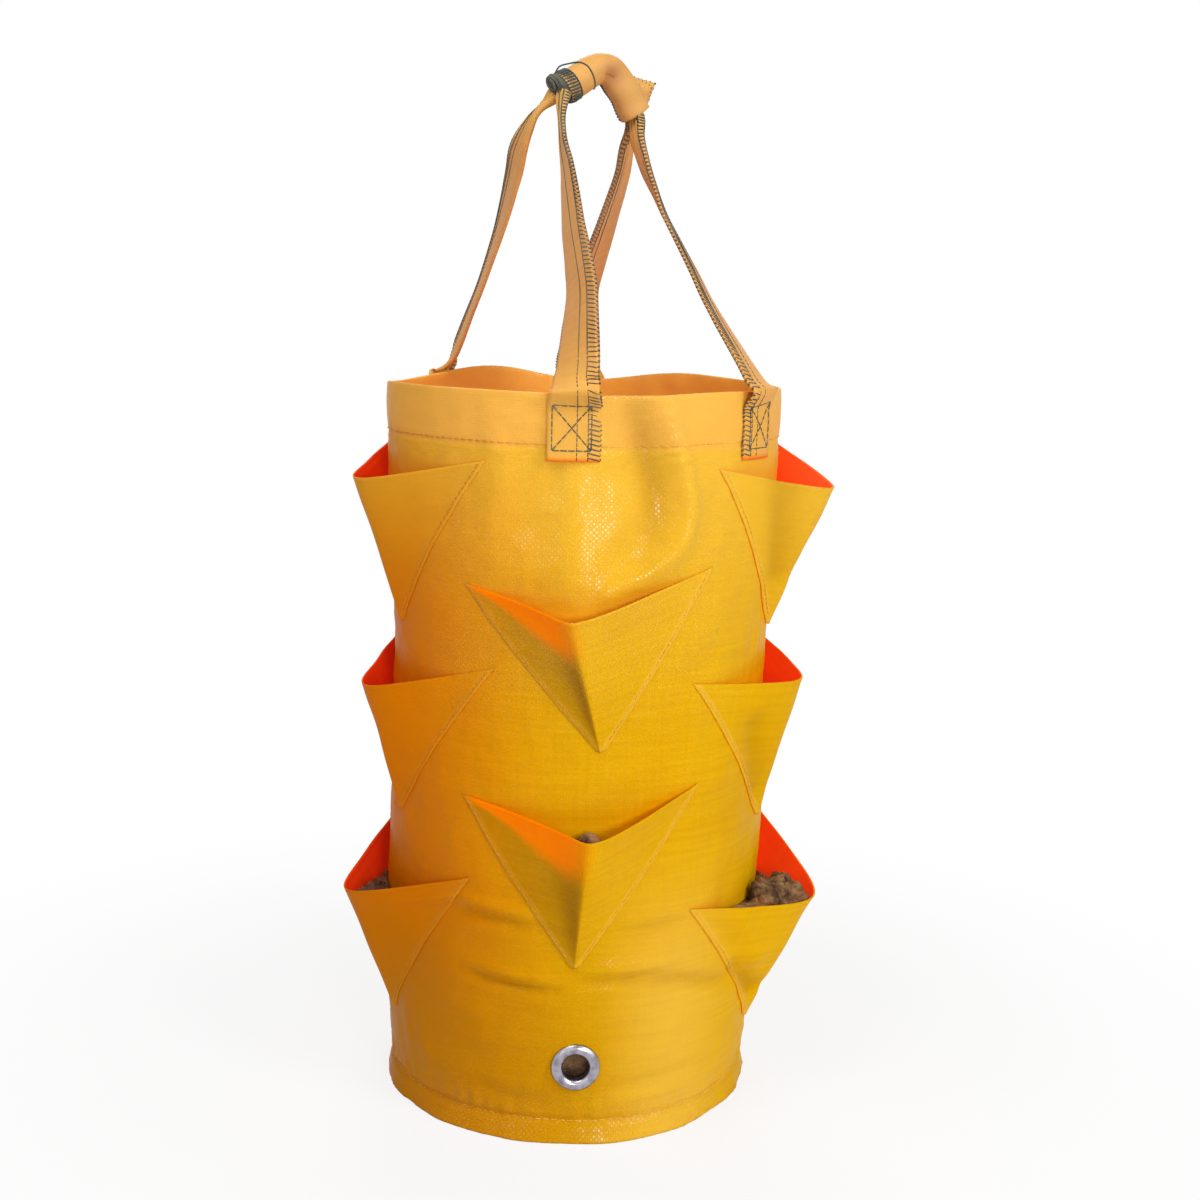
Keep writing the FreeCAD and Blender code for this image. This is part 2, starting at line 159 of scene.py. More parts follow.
class Network:
    """The nodes of a material or of the world; one method makes any kind of node."""

    def __init__(self, tree):
        self.tree = tree

    def node(self, kind, settings=None, sockets=None, output=0):
        """A new node: its settings first, then the values or links of its sockets."""
        made = self.tree.nodes.new(kind)
        for key, value in (settings or {}).items():
            setattr(made, key, value)
        for key, value in (sockets or {}).items():
            self.feed(made.inputs[key], value)
        return Wire(self, made.outputs[output])

    def feed(self, socket, value):
        """Link a wire to a socket, or set the socket to a plain value."""
        if isinstance(value, Wire):
            self.tree.links.new(value.socket, socket)
        else:
            socket.default_value = value

    def seen(self):
        """1 for rays from the camera, off a mirror or through clear stuff, 0 for all other light."""
        camera_ray, mirror_ray, clear_ray = (self.node("ShaderNodeLightPath", output=f"Is {kind} Ray")
                                             for kind in ("Camera", "Glossy", "Transmission"))
        return camera_ray.math("MAXIMUM", camera_ray, mirror_ray.math("MAXIMUM", mirror_ray, clear_ray))


class Finish(Network):
    """A material with one principled shader; constants sit on the shader's own sockets."""

    def __init__(self, name, **constants):
        self.material = bpy.data.materials.new(name)
        self.material.use_nodes = True
        super().__init__(self.material.node_tree)
        self.shader = self.tree.nodes["Principled BSDF"]
        for label, value in constants.items():
            self.shader.inputs[label.replace("_", " ")].default_value = value

    def shade(self, **links):
        """Link wires to the principled shader's inputs."""
        for label, wire in links.items():
            self.feed(self.shader.inputs[label.replace("_", " ")], wire)
        return self.material

    def split(self, vector):
        """The three numbers of a vector."""
        return [self.node("ShaderNodeSeparateXYZ", None, {0: vector}, output=axis) for axis in range(3)]

    def place(self):
        """Object coordinates, in metres."""
        return self.node("ShaderNodeTexCoord", output="Object")

    def cloth(self):
        """The piece's own cloth map, in millimetres across and along the cloth."""
        return self.node("ShaderNodeUVMap", {"uv_map": "cloth"})

    def mark(self, name):
        """A number that the piece carries on its points."""
        return self.node("ShaderNodeAttribute", {"attribute_name": name}, output="Fac")

    def noise(self, vector, scale, detail=3.0, roughness=0.5):
        """Soft noise from 0 to 1."""
        return self.node("ShaderNodeTexNoise", None,
                         {"Vector": vector, "Scale": scale, "Detail": detail, "Roughness": roughness})

    def stretch(self, vector, factors):
        """The vector with each axis multiplied, for noise that is longer one way."""
        return self.node("ShaderNodeVectorMath", {"operation": "MULTIPLY"}, {0: vector, 1: factors})

    def mix(self, share, first, second):
        """A colour between two colours."""
        return self.node("ShaderNodeMix", {"data_type": "RGBA"}, {0: share, 6: first, 7: second}, output=2)

    def bump(self, height, distance, strength=1.0, normal=None):
        """A Bump node; the height is in units of the distance in metres."""
        sockets = {"Height": height, "Distance": distance, "Strength": strength}
        if normal is not None:
            sockets["Normal"] = normal
        return self.node("ShaderNodeBump", None, sockets)


def paint(red, green, blue):
    """A colour as a screen shows it (0 to 255), turned into the linear numbers that shaders use."""
    shown = np.array([red, green, blue]) / 255
    linear = np.where(shown <= 0.04045, shown / 12.92, ((shown + 0.055) / 1.055) ** 2.4)
    return (*(float(v) for v in linear), 1.0)


print("a screen's middle grey in linear numbers:", round(paint(128, 128, 128)[0], 3))

# %% [markdown]
# ## The laminated cloth
# The bag is sewn from tape-woven polyethylene with a clear film on it: yellow outside, red inside.
# The weave shows as a fine grid that breaks up the gloss. The grid could be an image; a sum of
# sine waves on the cloth's own millimetre map stays sharp and follows every fold.

# %% Weave and film
TAPE = 1.3
WEAVE_RELIEF = 0.00006
# Scales of the film's noise: worn patches and rumples in space, thick and thin tapes on the cloth
PATCH_SCALE, RUMPLE_SCALE, SLUB_SCALE = 9.0, 42.0, 0.16
# Stretch of the noise along a tape: a streak is long one way and thin the other
STREAK_LONG, STREAK_THIN = 0.02, 0.45
FILM_ROUGHNESS = 0.36


def tape_waves(finish):
    """Sine waves across and along the cloth, half a wave to each tape."""
    across, along, _ = finish.split(finish.cloth())
    return (across * (math.pi / TAPE)).sine(), (along * (math.pi / TAPE)).sine()


def weave(finish):
    """Plain weave: each tape is a half sine, and the tape on top changes like a chess board."""
    warp, weft = tape_waves(finish)
    over = (warp * weft).step(-0.25, 0.25)
    return abs(warp) * over + abs(weft) * (1 - over)


def film(finish, tint, worn_tint, wrinkle):
    """Colour, gloss and bump that all the laminated cloths share; the wrinkle is in metres."""
    place = finish.place()
    patch = finish.noise(place, PATCH_SCALE, 4.0)
    thread_across = finish.noise(finish.stretch(finish.cloth(), (STREAK_LONG, STREAK_THIN, 1.0)), 1.0, 3.0)
    thread_up = finish.noise(finish.stretch(finish.cloth(), (STREAK_THIN, STREAK_LONG, 1.0)), 1.0, 3.0)
    fleck = thread_across * 0.68 + thread_up * 0.32
    share = (patch - 0.5) * 0.8 + (fleck - 0.5) * 0.85 + 0.5
    colour = finish.mix(share.step(0.2, 0.8), worn_tint, tint)
    rumple = finish.noise(finish.stretch(place, (1.0, 1.0, 1.6)), RUMPLE_SCALE, 4.0, 0.55)
    slub = finish.noise(finish.cloth(), SLUB_SCALE, 2.0)
    normal = finish.bump(weave(finish) * (0.25 + slub), WEAVE_RELIEF, 1.0, finish.bump(rumple, wrinkle))
    rough = FILM_ROUGHNESS + (fleck - 0.5) * 0.3 + (patch - 0.5) * 0.2
    return colour, rough, normal


def glints(finish):
    """Dots on the tapes' crossings, here and there, where the film lies bare and mirrors the light."""
    warp, weft = tape_waves(finish)
    chance = finish.noise(finish.stretch(finish.cloth(), (0.4, 0.7, 1.0)), 1.0, 0.0)
    area = finish.noise(finish.cloth(), 0.05, 2.0)
    return (warp * weft).step(0.2, 0.6) * (chance + (area - 0.5) * 0.6).step(0.42, 0.55)


print("tapes to 100 mm of cloth:", round(100 / TAPE))

# %% Yellow cloth
AMBER = paint(242, 188, 58)
LEMON = paint(236, 182, 8)
ORANGE = paint(230, 116, 0)
LOW_LEFT_SHADE = paint(196, 88, 0)
OCHRE_SHADE = paint(200, 138, 0)
STRAW_SHEEN = paint(248, 200, 84)
OLIVE = paint(158, 104, 0)
MUSTARD = paint(222, 162, 2)
EMBER = paint(250, 124, 0)
HEM_TINT = paint(255, 180, 92)
GLOW_LIGHT = paint(255, 120, 0)
FILM_TINT = (1.0, 0.82, 0.42, 1.0)

yellow = Finish("yellow_laminate", Specular_IOR_Level=0.02, Specular_Tint=FILM_TINT, Coat_Roughness=0.26,
                Emission_Strength=0.2)
base, rough, normal = film(yellow, LEMON, MUSTARD, 0.0007)
side, _, height = yellow.split(yellow.place())

# Paler towards the rim. Painted shade: redder on the left, darker and greener low down. A painted sheen: pale
# low on the right
base = yellow.mix(height.step(0.20, 0.37), base, AMBER)
# Painted shade: orange on the left side, and rust-red low on the left
left = (0 - side).step(-0.01, 0.09)
base = yellow.mix(left * (0.85 - 0.6 * height.step(0.24, 0.35)), base, ORANGE)
base = yellow.mix(left * 0.8 * height.step(0.2, 0.0), base, LOW_LEFT_SHADE)
# Painted shade: darker ochre low down, except on the right
base = yellow.mix(height.step(0.15, 0.02) * (1 - side.step(-0.01, 0.05)) * 0.7, base, OCHRE_SHADE)
# Painted sheen: a pale patch low on the right of the front
low_right_sheen = side.step(0.005, 0.045) * (1 - side.step(0.05, 0.085)) * height.step(0.15, 0.07)
base = yellow.mix(low_right_sheen * 0.4, base, STRAW_SHEEN)

# The doubled hem, the folded seams, painted shade in dents and on facets, and a painted, emitted glow of the
# lining through the cloth
base = yellow.mix(height.step(0.330, 0.336) * 0.45, base, HEM_TINT)
base = yellow.mix(yellow.mark("seam") * (0.1 + 0.35 * side.step(-0.08, 0.02)), base, AMBER)
base = yellow.mix(yellow.mark("shade"), base, OLIVE)
base = yellow.mix(yellow.mark("glow"), base, EMBER)
shine = yellow.mix(yellow.mark("glow"), (0, 0, 0, 1), GLOW_LIGHT)

# The bare film mirrors the lamps at the front, most of all high up and along the base
high_or_low = height.step(0.19, 0.24) + height.step(0.03, 0.01)
front = (1 - abs(side).step(0.055, 0.085)) * (0.35 + 0.65 * high_or_low)
bare = (0.1 + 0.9 * glints(yellow)) * front * (1 - yellow.mark("glow"))
YELLOW_CLOTH = yellow.shade(Base_Color=base, Roughness=rough, Normal=normal, Coat_Weight=bare,
                            Emission_Color=shine)
print(YELLOW_CLOTH.name, len(yellow.tree.nodes), "nodes")

# %% Red cloth
LINING_LIT = (1.0, 0.07, 0.008, 1.0)
LINING_DIM = (0.3, 0.018, 0.003, 1.0)

red = Finish("red_laminate", Specular_IOR_Level=0.1, Emission_Strength=0.27)
base, rough, normal = film(red, paint(248, 66, 12), paint(228, 42, 6), 0.0006)
side, _, height = red.split(red.place())
# Painted light: paler high up on the lit right, and an emitted glow, dim on the left, as light through the
# cloth
lit = side.step(0.04, 0.085)
base = red.mix(height.step(0.24, 0.33) * lit * 0.6, base, paint(255, 126, 70))
shine = red.mix(lit, LINING_DIM, LINING_LIT)
RED_CLOTH = red.shade(Base_Color=base, Roughness=rough + 0.1, Normal=normal, Emission_Color=shine)
print(RED_CLOTH.name, len(red.tree.nodes), "nodes")

# %% [markdown]
# ## Meshes from arrays
# Each piece below is a function of two parameters on a grid. These helpers turn such grids into
# closed meshes: a slab has an outer and an inner grid that are joined all round the border.

# %% Mesh helpers


def corner_numbers(rows, cols, wrap_rows=False, wrap_cols=False):
    """Row and column of the four corners of each quad of a grid, counted on past the wrap."""
    i, j = np.meshgrid(np.arange(rows - (not wrap_rows)), np.arange(cols - (not wrap_cols)), indexing="ij")
    return (np.stack([i, i, i + 1, i + 1], -1).reshape(-1, 4),
            np.stack([j, j + 1, j + 1, j], -1).reshape(-1, 4))


def outward(points, faces):
    """The faces, turned round if the closed surface's signed volume is negative."""
    volume = 0.0
    for group in faces:
        first = points[group[:, 0]]
        for k in range(1, group.shape[1] - 1):
            volume += np.einsum("ij,ij->", first, np.cross(points[group[:, k]], points[group[:, k + 1]]))
    return [group[:, ::-1] for group in faces] if volume < 0 else faces


def make_piece(name, points, faces, materials, slots=None, cloth=None, marks=None, smooth=True):
    """A mesh object from points in millimetres and arrays of faces, one array for each corner count.

    Slots number each face's material, cloth maps each corner, and each mark is one number for all
    points or a number for each.
    """
    points = np.asarray(points, float).reshape(-1, 3)
    faces = [np.asarray(group) for group in faces if len(group)]
    facing = outward(points, faces)
    flipped = facing is not faces
    loops = np.concatenate([group.ravel() for group in facing])
    sizes = np.concatenate([np.full(len(group), group.shape[1]) for group in facing])
    mesh = bpy.data.meshes.new(name)
    mesh.vertices.add(len(points))
    mesh.vertices.foreach_set("co", (points * MM).astype(np.float32).ravel())
    mesh.loops.add(len(loops))
    mesh.loops.foreach_set("vertex_index", loops.astype(np.int32))
    mesh.polygons.add(len(sizes))
    mesh.polygons.foreach_set("loop_start", (np.cumsum(sizes) - sizes).astype(np.int32))
    if slots is not None:
        mesh.polygons.foreach_set("material_index", np.asarray(slots, np.int32))
    mesh.update(calc_edges=True)
    if cloth is not None:
        per_face = [part[:, ::-1] for part in cloth] if flipped else cloth
        uv = np.concatenate([part.reshape(-1, 2) for part in per_face])
        layer = mesh.uv_layers.new(name="cloth", do_init=False)
        layer.uv.foreach_set("vector", uv.astype(np.float32).ravel())
    for label, values in (marks or {}).items():
        layer = mesh.attributes.new(label, "FLOAT", "POINT")
        spread = np.broadcast_to(np.ravel(values), len(points))
        layer.data.foreach_set("value", spread.astype(np.float32))
    mesh.polygons.foreach_set("use_smooth", np.full(len(sizes), smooth))
    for material in materials:
        mesh.materials.append(material)
    mesh.validate()
    piece = bpy.data.objects.new(name, mesh)
    bpy.context.scene.collection.objects.link(piece)
    print("%s: %d faces" % (name, len(sizes)))
    return piece


def slab(outer, inner, cloth):
    """A closed sheet between two grids of the same shape: outer faces, inner faces and the border.

    Returns points, face arrays, slot numbers (0 outside, 1 inside) and the cloth map of each corner.
    """
    rows, cols = outer.shape[:2]
    number = np.arange(rows * cols).reshape(rows, cols)
    i, j = corner_numbers(rows, cols)
    front = number[i, j]
    back = front[:, ::-1] + rows * cols
    ring = np.concatenate([number[0, :-1], number[:-1, -1], number[-1, :0:-1], number[:0:-1, 0]])
    after = np.roll(ring, -1)
    edge = np.stack([after, ring, ring + rows * cols, after + rows * cols], -1)
    faces = np.concatenate([front, back, edge])
    slots = np.repeat([0, 1, 0], [len(front), len(back), len(edge)])
    flat = cloth.reshape(-1, 2)
    maps = np.concatenate([flat[front], flat[front[:, ::-1]], flat[edge % (rows * cols)]])
    points = np.concatenate([outer.reshape(-1, 3), inner.reshape(-1, 3)])
    return points, [faces], slots, [maps]


def sheet_piece(name, outer, inner, cloth, materials, marks):
    """A slab as a piece; each mark is one number or a grid that both faces share."""
    points, faces, slots, maps = slab(outer, inner, cloth)
    spread = {label: np.tile(np.broadcast_to(values, outer.shape[:2]).ravel(), 2)
              for label, values in marks.items()}
    return make_piece(name, points, faces, materials, slots, maps, spread)


def unit(vectors):
    """The vectors at length one."""
    return vectors / np.maximum(np.linalg.norm(vectors, axis=-1, keepdims=True), 1e-12)


def grid_normals(points):
    """Normals of a grid of points: the cross product of its two directions."""
    return unit(np.cross(np.gradient(points, axis=1), np.gradient(points, axis=0)))


def smooth_step(value, low, high):
    """0 below low, 1 above high, with no kink at either end."""
    t = np.clip((value - low) / (high - low), 0, 1)
    return t * t * (3 - 2 * t)


def length_along(points):
    """The length of a line of points from its first point up to each of them."""
    return np.concatenate([[0], np.cumsum(np.linalg.norm(np.diff(points, axis=0), axis=1))])


def polar(radius, azimuth, z):
    """Points at an azimuth in degrees from the front, positive to the right, as an array of triples."""
    a = np.radians(azimuth)
    return np.stack(np.broadcast_arrays(radius * np.sin(a), -radius * np.cos(a), z), -1)


def degrees_off(azimuth, middle):
    """Degrees from a middle azimuth, the short way round."""
    return (azimuth - middle + 180) % 360 - 180


print("a step from 0 to 1, a quarter of the way:", smooth_step(0.25, 0, 1))

# %% [markdown]
# ## The wall's shape
# The tube hangs taut, so it is nearly a cone, but it is cloth: it bulges over the soil, it is slack
# above it, the rim waves, and soft folds run over the front. A simulation would find folds of its
# own; here each fold of the photograph is a line on the unrolled cloth with a soft ridge over it.

# %% Wall shape
BASE_RADIUS, RIM_RADIUS, BAG_HEIGHT = 92.0, 98.0, 358.0
HEM_LINE = 333.6
BASE_SEAM = 10.0
FOLD_REACH = 2.6
FOLD_STEPS, FOLD_ROUNDING = 24, 7
# Ripples all over the wall, how far its seams are drawn in, and how its lower edge flares
SLACK_RIPPLE, FINE_RIPPLE, BASE_PUCKER, RIM_RUFFLE = 0.35, 0.16, 0.42, 0.5
BASE_DENT, HEM_DENT = 1.1, 0.4
FLARE, FRONT_FLARE, FLARE_RUFFLE = 2.8, 1.5, 0.8

# Bulges and hollows: height, middle and half width up the wall, middle and half width round it
BULGES = (
    (-3.0, 232, 62, -92, 55),
    (-1.2, 225, 60, 95, 45),
    (1.3, 78, 42, 0, math.inf),
    (2.5, 138, 22, 95, 25),
    (3.0, 70, 26, 92, 30),
    (2.0, 60, 30, -92, 30),
    (-3.5, 0, 24, 62, 28),
)
# Waves of the rim's edge: height, middle and half width round it
RIM_WAVES = ((4.2, -152, 19), (-3.6, 178, 20), (1.2, 146, 16), (-0.9, 6, 22), (1.0, 40, 16), (1.6, 140, 34),
             (-2.4, -105, 22))
# Each fold: height and half width in millimetres, then points as azimuth and z
FOLDS = (
    (5.2, 5.4, ((19, 359), (24, 335), (28, 312), (29, 294), (18, 277), (6, 268))),
    (-5.4, 10.5, ((9, 357), (15, 330), (19, 306), (12, 288))),
    (1.6, 8.0, ((-4.5, 328), (-4, 292), (-3.4, 262))),
    (-3.0, 14.0, ((-12, 345), (-16, 312), (-22, 288))),
    (2.0, 9.0, ((-27, 345), (-24, 318), (-30, 290))),
    (4.2, 27.0, ((-16, 258), (-2, 256), (14, 259))),
    (-2.6, 24.0, ((-14, 324), (0, 324), (16, 322))),
    (2.4, 2.6, ((-40, 116), (-26, 115.5), (-12, 111))),
    (-2.0, 3.0, ((-38, 110), (-25, 109.5), (-12, 106))),
    (1.6, 2.8, ((10, 111), (20, 111), (32, 113))),
    (-1.4, 3.0, ((8, 105), (20, 105.5), (32, 107))),
    (-2.8, 2.3, ((-36, 80), (-20, 77.5), (-6, 76))),
    (1.8, 3.0, ((-34, 85), (-18, 82.5), (-4, 81))),
    (-2.4, 2.3, ((0, 81), (12, 81), (24, 83))),
    (2.6, 3.4, ((2, 87), (16, 88), (30, 88))),
    (-2.8, 3.6, ((14, 79), (28, 79), (44, 72), (56, 69))),
    (0.8, 4.0, ((30, 70), (44, 64), (56, 60))),
    (0.8, 4.5, ((-50, 66), (-36, 60), (-24, 60))),
    (1.5, 4.0, ((0, 17), (18, 20), (46, 22))),
    (-1.3, 3.5, ((-34, 24), (-18, 20), (-4, 21))),
    (-1.2, 3.0, ((4, 27), (22, 29), (44, 34))),
    (1.0, 7.0, ((22, 66), (25, 54), (24, 42))),
    (1.0, 5.0, ((-60, 34), (-44, 28), (-30, 30))),
    (0.8, 5.0, ((150, 88), (168, 84), (190, 87))),
    (-0.8, 4.0, ((142, 78), (165, 76), (182, 79))),
    (1.3, 10.0, ((160, 356), (166, 320), (158, 285))),
    (-1.2, 11.0, ((195, 350), (190, 315), (200, 285))),
    (1.2, 9.0, ((-104, 350), (-112, 300), (-118, 255))),
    (1.1, 9.0, ((112, 352), (118, 305), (114, 262))),
    (0.9, 5.0, ((104, 70), (122, 66), (140, 69))),
    (0.9, 5.0, ((-140, 72), (-122, 67), (-104, 70))),
)


def fold_height(azimuth, z, height, width, line):
    """A ridge over a curve: height times a bell of the distance to the curve through the points."""
    line = np.array(line, float)
    t = np.linspace(0, len(line) - 1, FOLD_STEPS)
    path = np.stack([np.interp(t, np.arange(len(line)), line[:, k]) for k in range(2)])
    blur = np.ones(FOLD_ROUNDING) / FOLD_ROUNDING
    padded = np.pad(path, ((0, 0), (FOLD_ROUNDING // 2,) * 2), "reflect", reflect_type="odd")
    path = np.stack([np.convolve(row, blur, "valid") for row in padded])
    middle = path[0].mean()
    arc = np.radians(degrees_off(azimuth, middle)) * RIM_RADIUS
    path[0] = np.radians(path[0] - middle) * RIM_RADIUS
    low, high = path.min(axis=1) - FOLD_REACH * width, path.max(axis=1) + FOLD_REACH * width
    near = (arc > low[0]) & (arc < high[0]) & (z > low[1]) & (z < high[1])
    gaps = (arc[near][:, None] - path[0]) ** 2 + (z[near][:, None] - path[1]) ** 2
    share = gaps.argmin(axis=-1) / (path.shape[1] - 1)
    fade = np.sin(np.pi * np.clip(share, 0.04, 0.96)) ** 0.6
    rise = np.zeros(arc.shape)
    rise[near] = height * np.exp(-gaps.min(axis=-1) / width ** 2) * fade
    return rise


def waves(azimuth, z, seed, count, shortest, longest):
    """A sum of sine waves in random directions, whole numbers of them round the tube, from -1 to 1."""
    draw = np.random.default_rng(seed)
    total = np.zeros(np.broadcast(azimuth, z).shape)
    for _ in range(count):
        length = math.exp(draw.uniform(math.log(shortest), math.log(longest)))
        heading = draw.uniform(0, 2 * math.pi)
        turns = round(2 * math.pi * RIM_RADIUS / length * math.cos(heading))
        rise = 2 * math.pi / length * math.sin(heading)
        total += np.sin(np.radians(azimuth) * turns + rise * z + draw.uniform(0, 2 * math.pi))
    return total / math.sqrt(count)


def bell(value, middle, width):
    """A bell curve, one at its middle."""
    return np.exp(-((value - middle) / width) ** 2)


def turned(azimuth, middle, width):
    """A bell curve round the tube."""
    return bell(degrees_off(azimuth, middle), 0, width)


def wall_radius(azimuth, z):
    """Radius of the wall's outer face: the cone, the slack above the soil, folds and the base seam."""
    azimuth, z = np.broadcast_arrays(np.asarray(azimuth, float), np.asarray(z, float))
    radius = BASE_RADIUS + (RIM_RADIUS - BASE_RADIUS) * z / BAG_HEIGHT
    for height, level, tall, middle, wide in BULGES:
        radius = radius + height * bell(z, level, tall) * turned(azimuth, middle, wide)
    for height, width, line in FOLDS:
        radius = radius + fold_height(azimuth, z, height, width, line)
    radius = radius + smooth_step(z, 20, 60) * SLACK_RIPPLE * waves(azimuth, z, 3, 24, 26, 90)
    radius = radius + FINE_RIPPLE * waves(azimuth, z, 5, 20, 11, 26)
    pucker = waves(azimuth, z * 0.2, 11, 16, 7, 20)
    radius = radius + BASE_PUCKER * pucker * bell(z, BASE_SEAM + 4, 6)
    radius = radius - BASE_DENT * bell(z, BASE_SEAM, 1.7) - HEM_DENT * bell(z, HEM_LINE, 1.0)
    flare = np.clip((BASE_SEAM - z) / BASE_SEAM, 0, 1)
    ruffle = waves(azimuth, 0 * z, 17, 10, 40, 120)
    radius = radius + flare * (FLARE + FRONT_FLARE * turned(azimuth, 12, 40) + FLARE_RUFFLE * ruffle)
    return radius + RIM_RUFFLE * bell(z, BAG_HEIGHT, 12) * ruffle


def rim_lift(azimuth):
    """How far the rim's edge stands above or below its plane, more at the back than at the front."""
    return sum(height * turned(azimuth, middle, width) for height, middle, width in RIM_WAVES)


def wall_height(azimuth, z):
    """A height on the wall, drawn up or down with the rim's edge near the top."""
    return z + rim_lift(azimuth) * np.clip(z / BAG_HEIGHT, 0, 1) ** 6


print("radius at the front, 100 mm up:", round(float(wall_radius(0, 100)), 2), "mm;", len(FOLDS), "folds")

# %% [markdown]
# ## The wall, its hem and its cut-outs
# One sheet goes up the outside, over the rim and down inside as the hem, which is stitched at its
# lower edge. Behind each pocket a triangle is cut out so that roots reach the soil. A Boolean could
# cut them; moving the nearest grid points onto the triangle and leaving faces out keeps clean edges.

# %% Cut-outs
MEAN_RADIUS = (RIM_RADIUS + BASE_RADIUS) / 2
COLUMN_AZIMUTH = {"front": 0.0, "right": 70.0, "back": 180.0, "left": -70.0}
SHORT_COLUMN = {"upper": 273, "lower": 171}
TALL_COLUMN = {"upper": 324, "middle": 222, "lower": 120}
ROW_HEIGHT = {"front": SHORT_COLUMN, "back": SHORT_COLUMN, "left": TALL_COLUMN, "right": TALL_COLUMN}
CUT_REACH, CUT_DROP = 12.5, 38.0
EYELET_HEIGHT, DRAIN_RADIUS = 38.0, 7.6
CUTS = [(COLUMN_AZIMUTH[column], top - CUT_DROP)
        for column, rows in ROW_HEIGHT.items() for top in rows.values()]


def cut_distance(azimuth, z):
    """Signed distance to the nearest hole's edge, negative inside, and the direction straight out of it.

    The holes are triangles that point down, behind the pockets, and the round drain hole.
    """
    best = np.full(azimuth.shape, 1e9)
    push = np.zeros(azimuth.shape + (2,))
    slant = math.cos(math.pi / 6)
    sides = np.array([(0, 1), (slant, -0.5), (-slant, -0.5)])
    for middle, level in CUTS:
        arc = np.radians(degrees_off(azimuth, middle)) * MEAN_RADIUS
        gaps = np.stack([arc * n[0] + (z - level) * n[1] for n in sides]) - CUT_REACH
        inside = gaps.max(axis=0)
        nearer = np.abs(inside) < np.abs(best)
        best = np.where(nearer, inside, best)
        push = np.where(nearer[..., None], sides[gaps.argmax(axis=0)], push)
    drain = np.stack([np.radians(degrees_off(azimuth, 0)) * BASE_RADIUS, z - EYELET_HEIGHT], -1)
    gap = np.linalg.norm(drain, axis=-1) - DRAIN_RADIUS
    nearer = np.abs(gap) < np.abs(best)
    return np.where(nearer, gap, best), np.where(nearer[..., None], unit(drain), push)


print("holes to cut:", len(CUTS), "triangles and the drain")

# %% Rows of the wall's sheet
WALL_COLS = 280
CLOTH, HEM_LAYERS = 0.6, 1.7
HEM_FOOT, HEM_FOOT_INSIDE, HEM_TOP, HEM_CROWN = 334.0, 334.2, 357.2, 0.8
SEAM_AZIMUTH = 125.0
SNAP_REACH = 1.25
TAPE_GRAIN = 0.1
# Bands of levels, closest at the base seam and the hem: low end, high end, how many
LEVEL_BANDS = ((0, 14, 15), (14, 130, 54), (130, 326, 66), (326, 333, 8))

levels = np.unique(np.concatenate([np.linspace(*band) for band in LEVEL_BANDS]))
sheet_rows = len(levels)
wall_azimuth = SEAM_AZIMUTH + np.arange(WALL_COLS) * 360 / WALL_COLS
azimuth, level = np.meshgrid(wall_azimuth, levels)
gap, push = cut_distance(azimuth, level)
near = np.abs(gap) < SNAP_REACH
azimuth = azimuth - np.where(near, np.degrees(gap * push[..., 0] / MEAN_RADIUS), 0)
level = level - np.where(near, gap * push[..., 1], 0)

hem_up = np.linspace(HEM_FOOT, HEM_TOP, 14)
hem_turn = np.linspace(0, math.pi, 7)[1:-1]
hem_down = np.linspace(HEM_TOP, HEM_FOOT_INSIDE, 12)
hem_z = np.concatenate([hem_up, HEM_TOP + HEM_CROWN * np.sin(hem_turn), hem_down])
wall_z = np.concatenate([level, np.tile(hem_z[:, None], WALL_COLS), level[::-1]])
wall_a = np.concatenate([azimuth, np.tile(wall_azimuth, (len(hem_z), 1)), azimuth[::-1]])
depth = np.concatenate([np.zeros(sheet_rows + len(hem_up)), HEM_LAYERS / 2 * (1 - np.cos(hem_turn)),
                        np.full(len(hem_down), HEM_LAYERS), np.full(sheet_rows, CLOTH)])
grain = np.zeros(wall_a.shape)
grain[:sheet_rows] = np.random.default_rng(7).normal(0, TAPE_GRAIN, level.shape)
grain[-sheet_rows:] = grain[:sheet_rows][::-1]
radius = wall_radius(wall_a, wall_z) - depth[:, None] + grain
wall_points = polar(radius, wall_a, wall_height(wall_a, wall_z))
print("wall grid:", wall_z.shape[0], "rows,", WALL_COLS, "columns")

# %% Faces of the wall round its holes
HOLE_DEPTH = 0.35
wall_rows = len(wall_z)
number = np.arange(wall_rows * WALL_COLS).reshape(wall_rows, WALL_COLS)
i, j = corner_numbers(wall_rows, WALL_COLS, True, True)
corner = (i % wall_rows, j % WALL_COLS)
quads = number[corner]
turn_on = np.where(j >= WALL_COLS, 360.0, 0.0)
wall_map = np.stack([np.radians(wall_a[corner] + turn_on) * MEAN_RADIUS, wall_z[corner]], -1)

corner_gap = cut_distance(azimuth, level)[0]
pair_gap = corner_gap + np.roll(corner_gap, -1, axis=1)
hole = (pair_gap[:-1] + pair_gap[1:]) / 4 < -HOLE_DEPTH
keep = np.ones((wall_rows, WALL_COLS), bool)
keep[:sheet_rows - 1] = ~hole
keep[wall_rows - sheet_rows:wall_rows - 1] = ~hole[::-1]
keep = keep.ravel()


def lip_faces(starts, ends, swapped):
    """Faces across the cloth's thickness along grid edges, each edge given by (row, column) at both ends."""
    first = np.where(swapped[:, None], ends, starts)
    last = np.where(swapped[:, None], starts, ends)
    outer, inner = number[:sheet_rows], number[::-1][:sheet_rows]
    corners = ((outer, first), (outer, last), (inner, last), (inner, first))
    return np.stack([layer[end[:, 0], end[:, 1] % WALL_COLS] for layer, end in corners], -1)


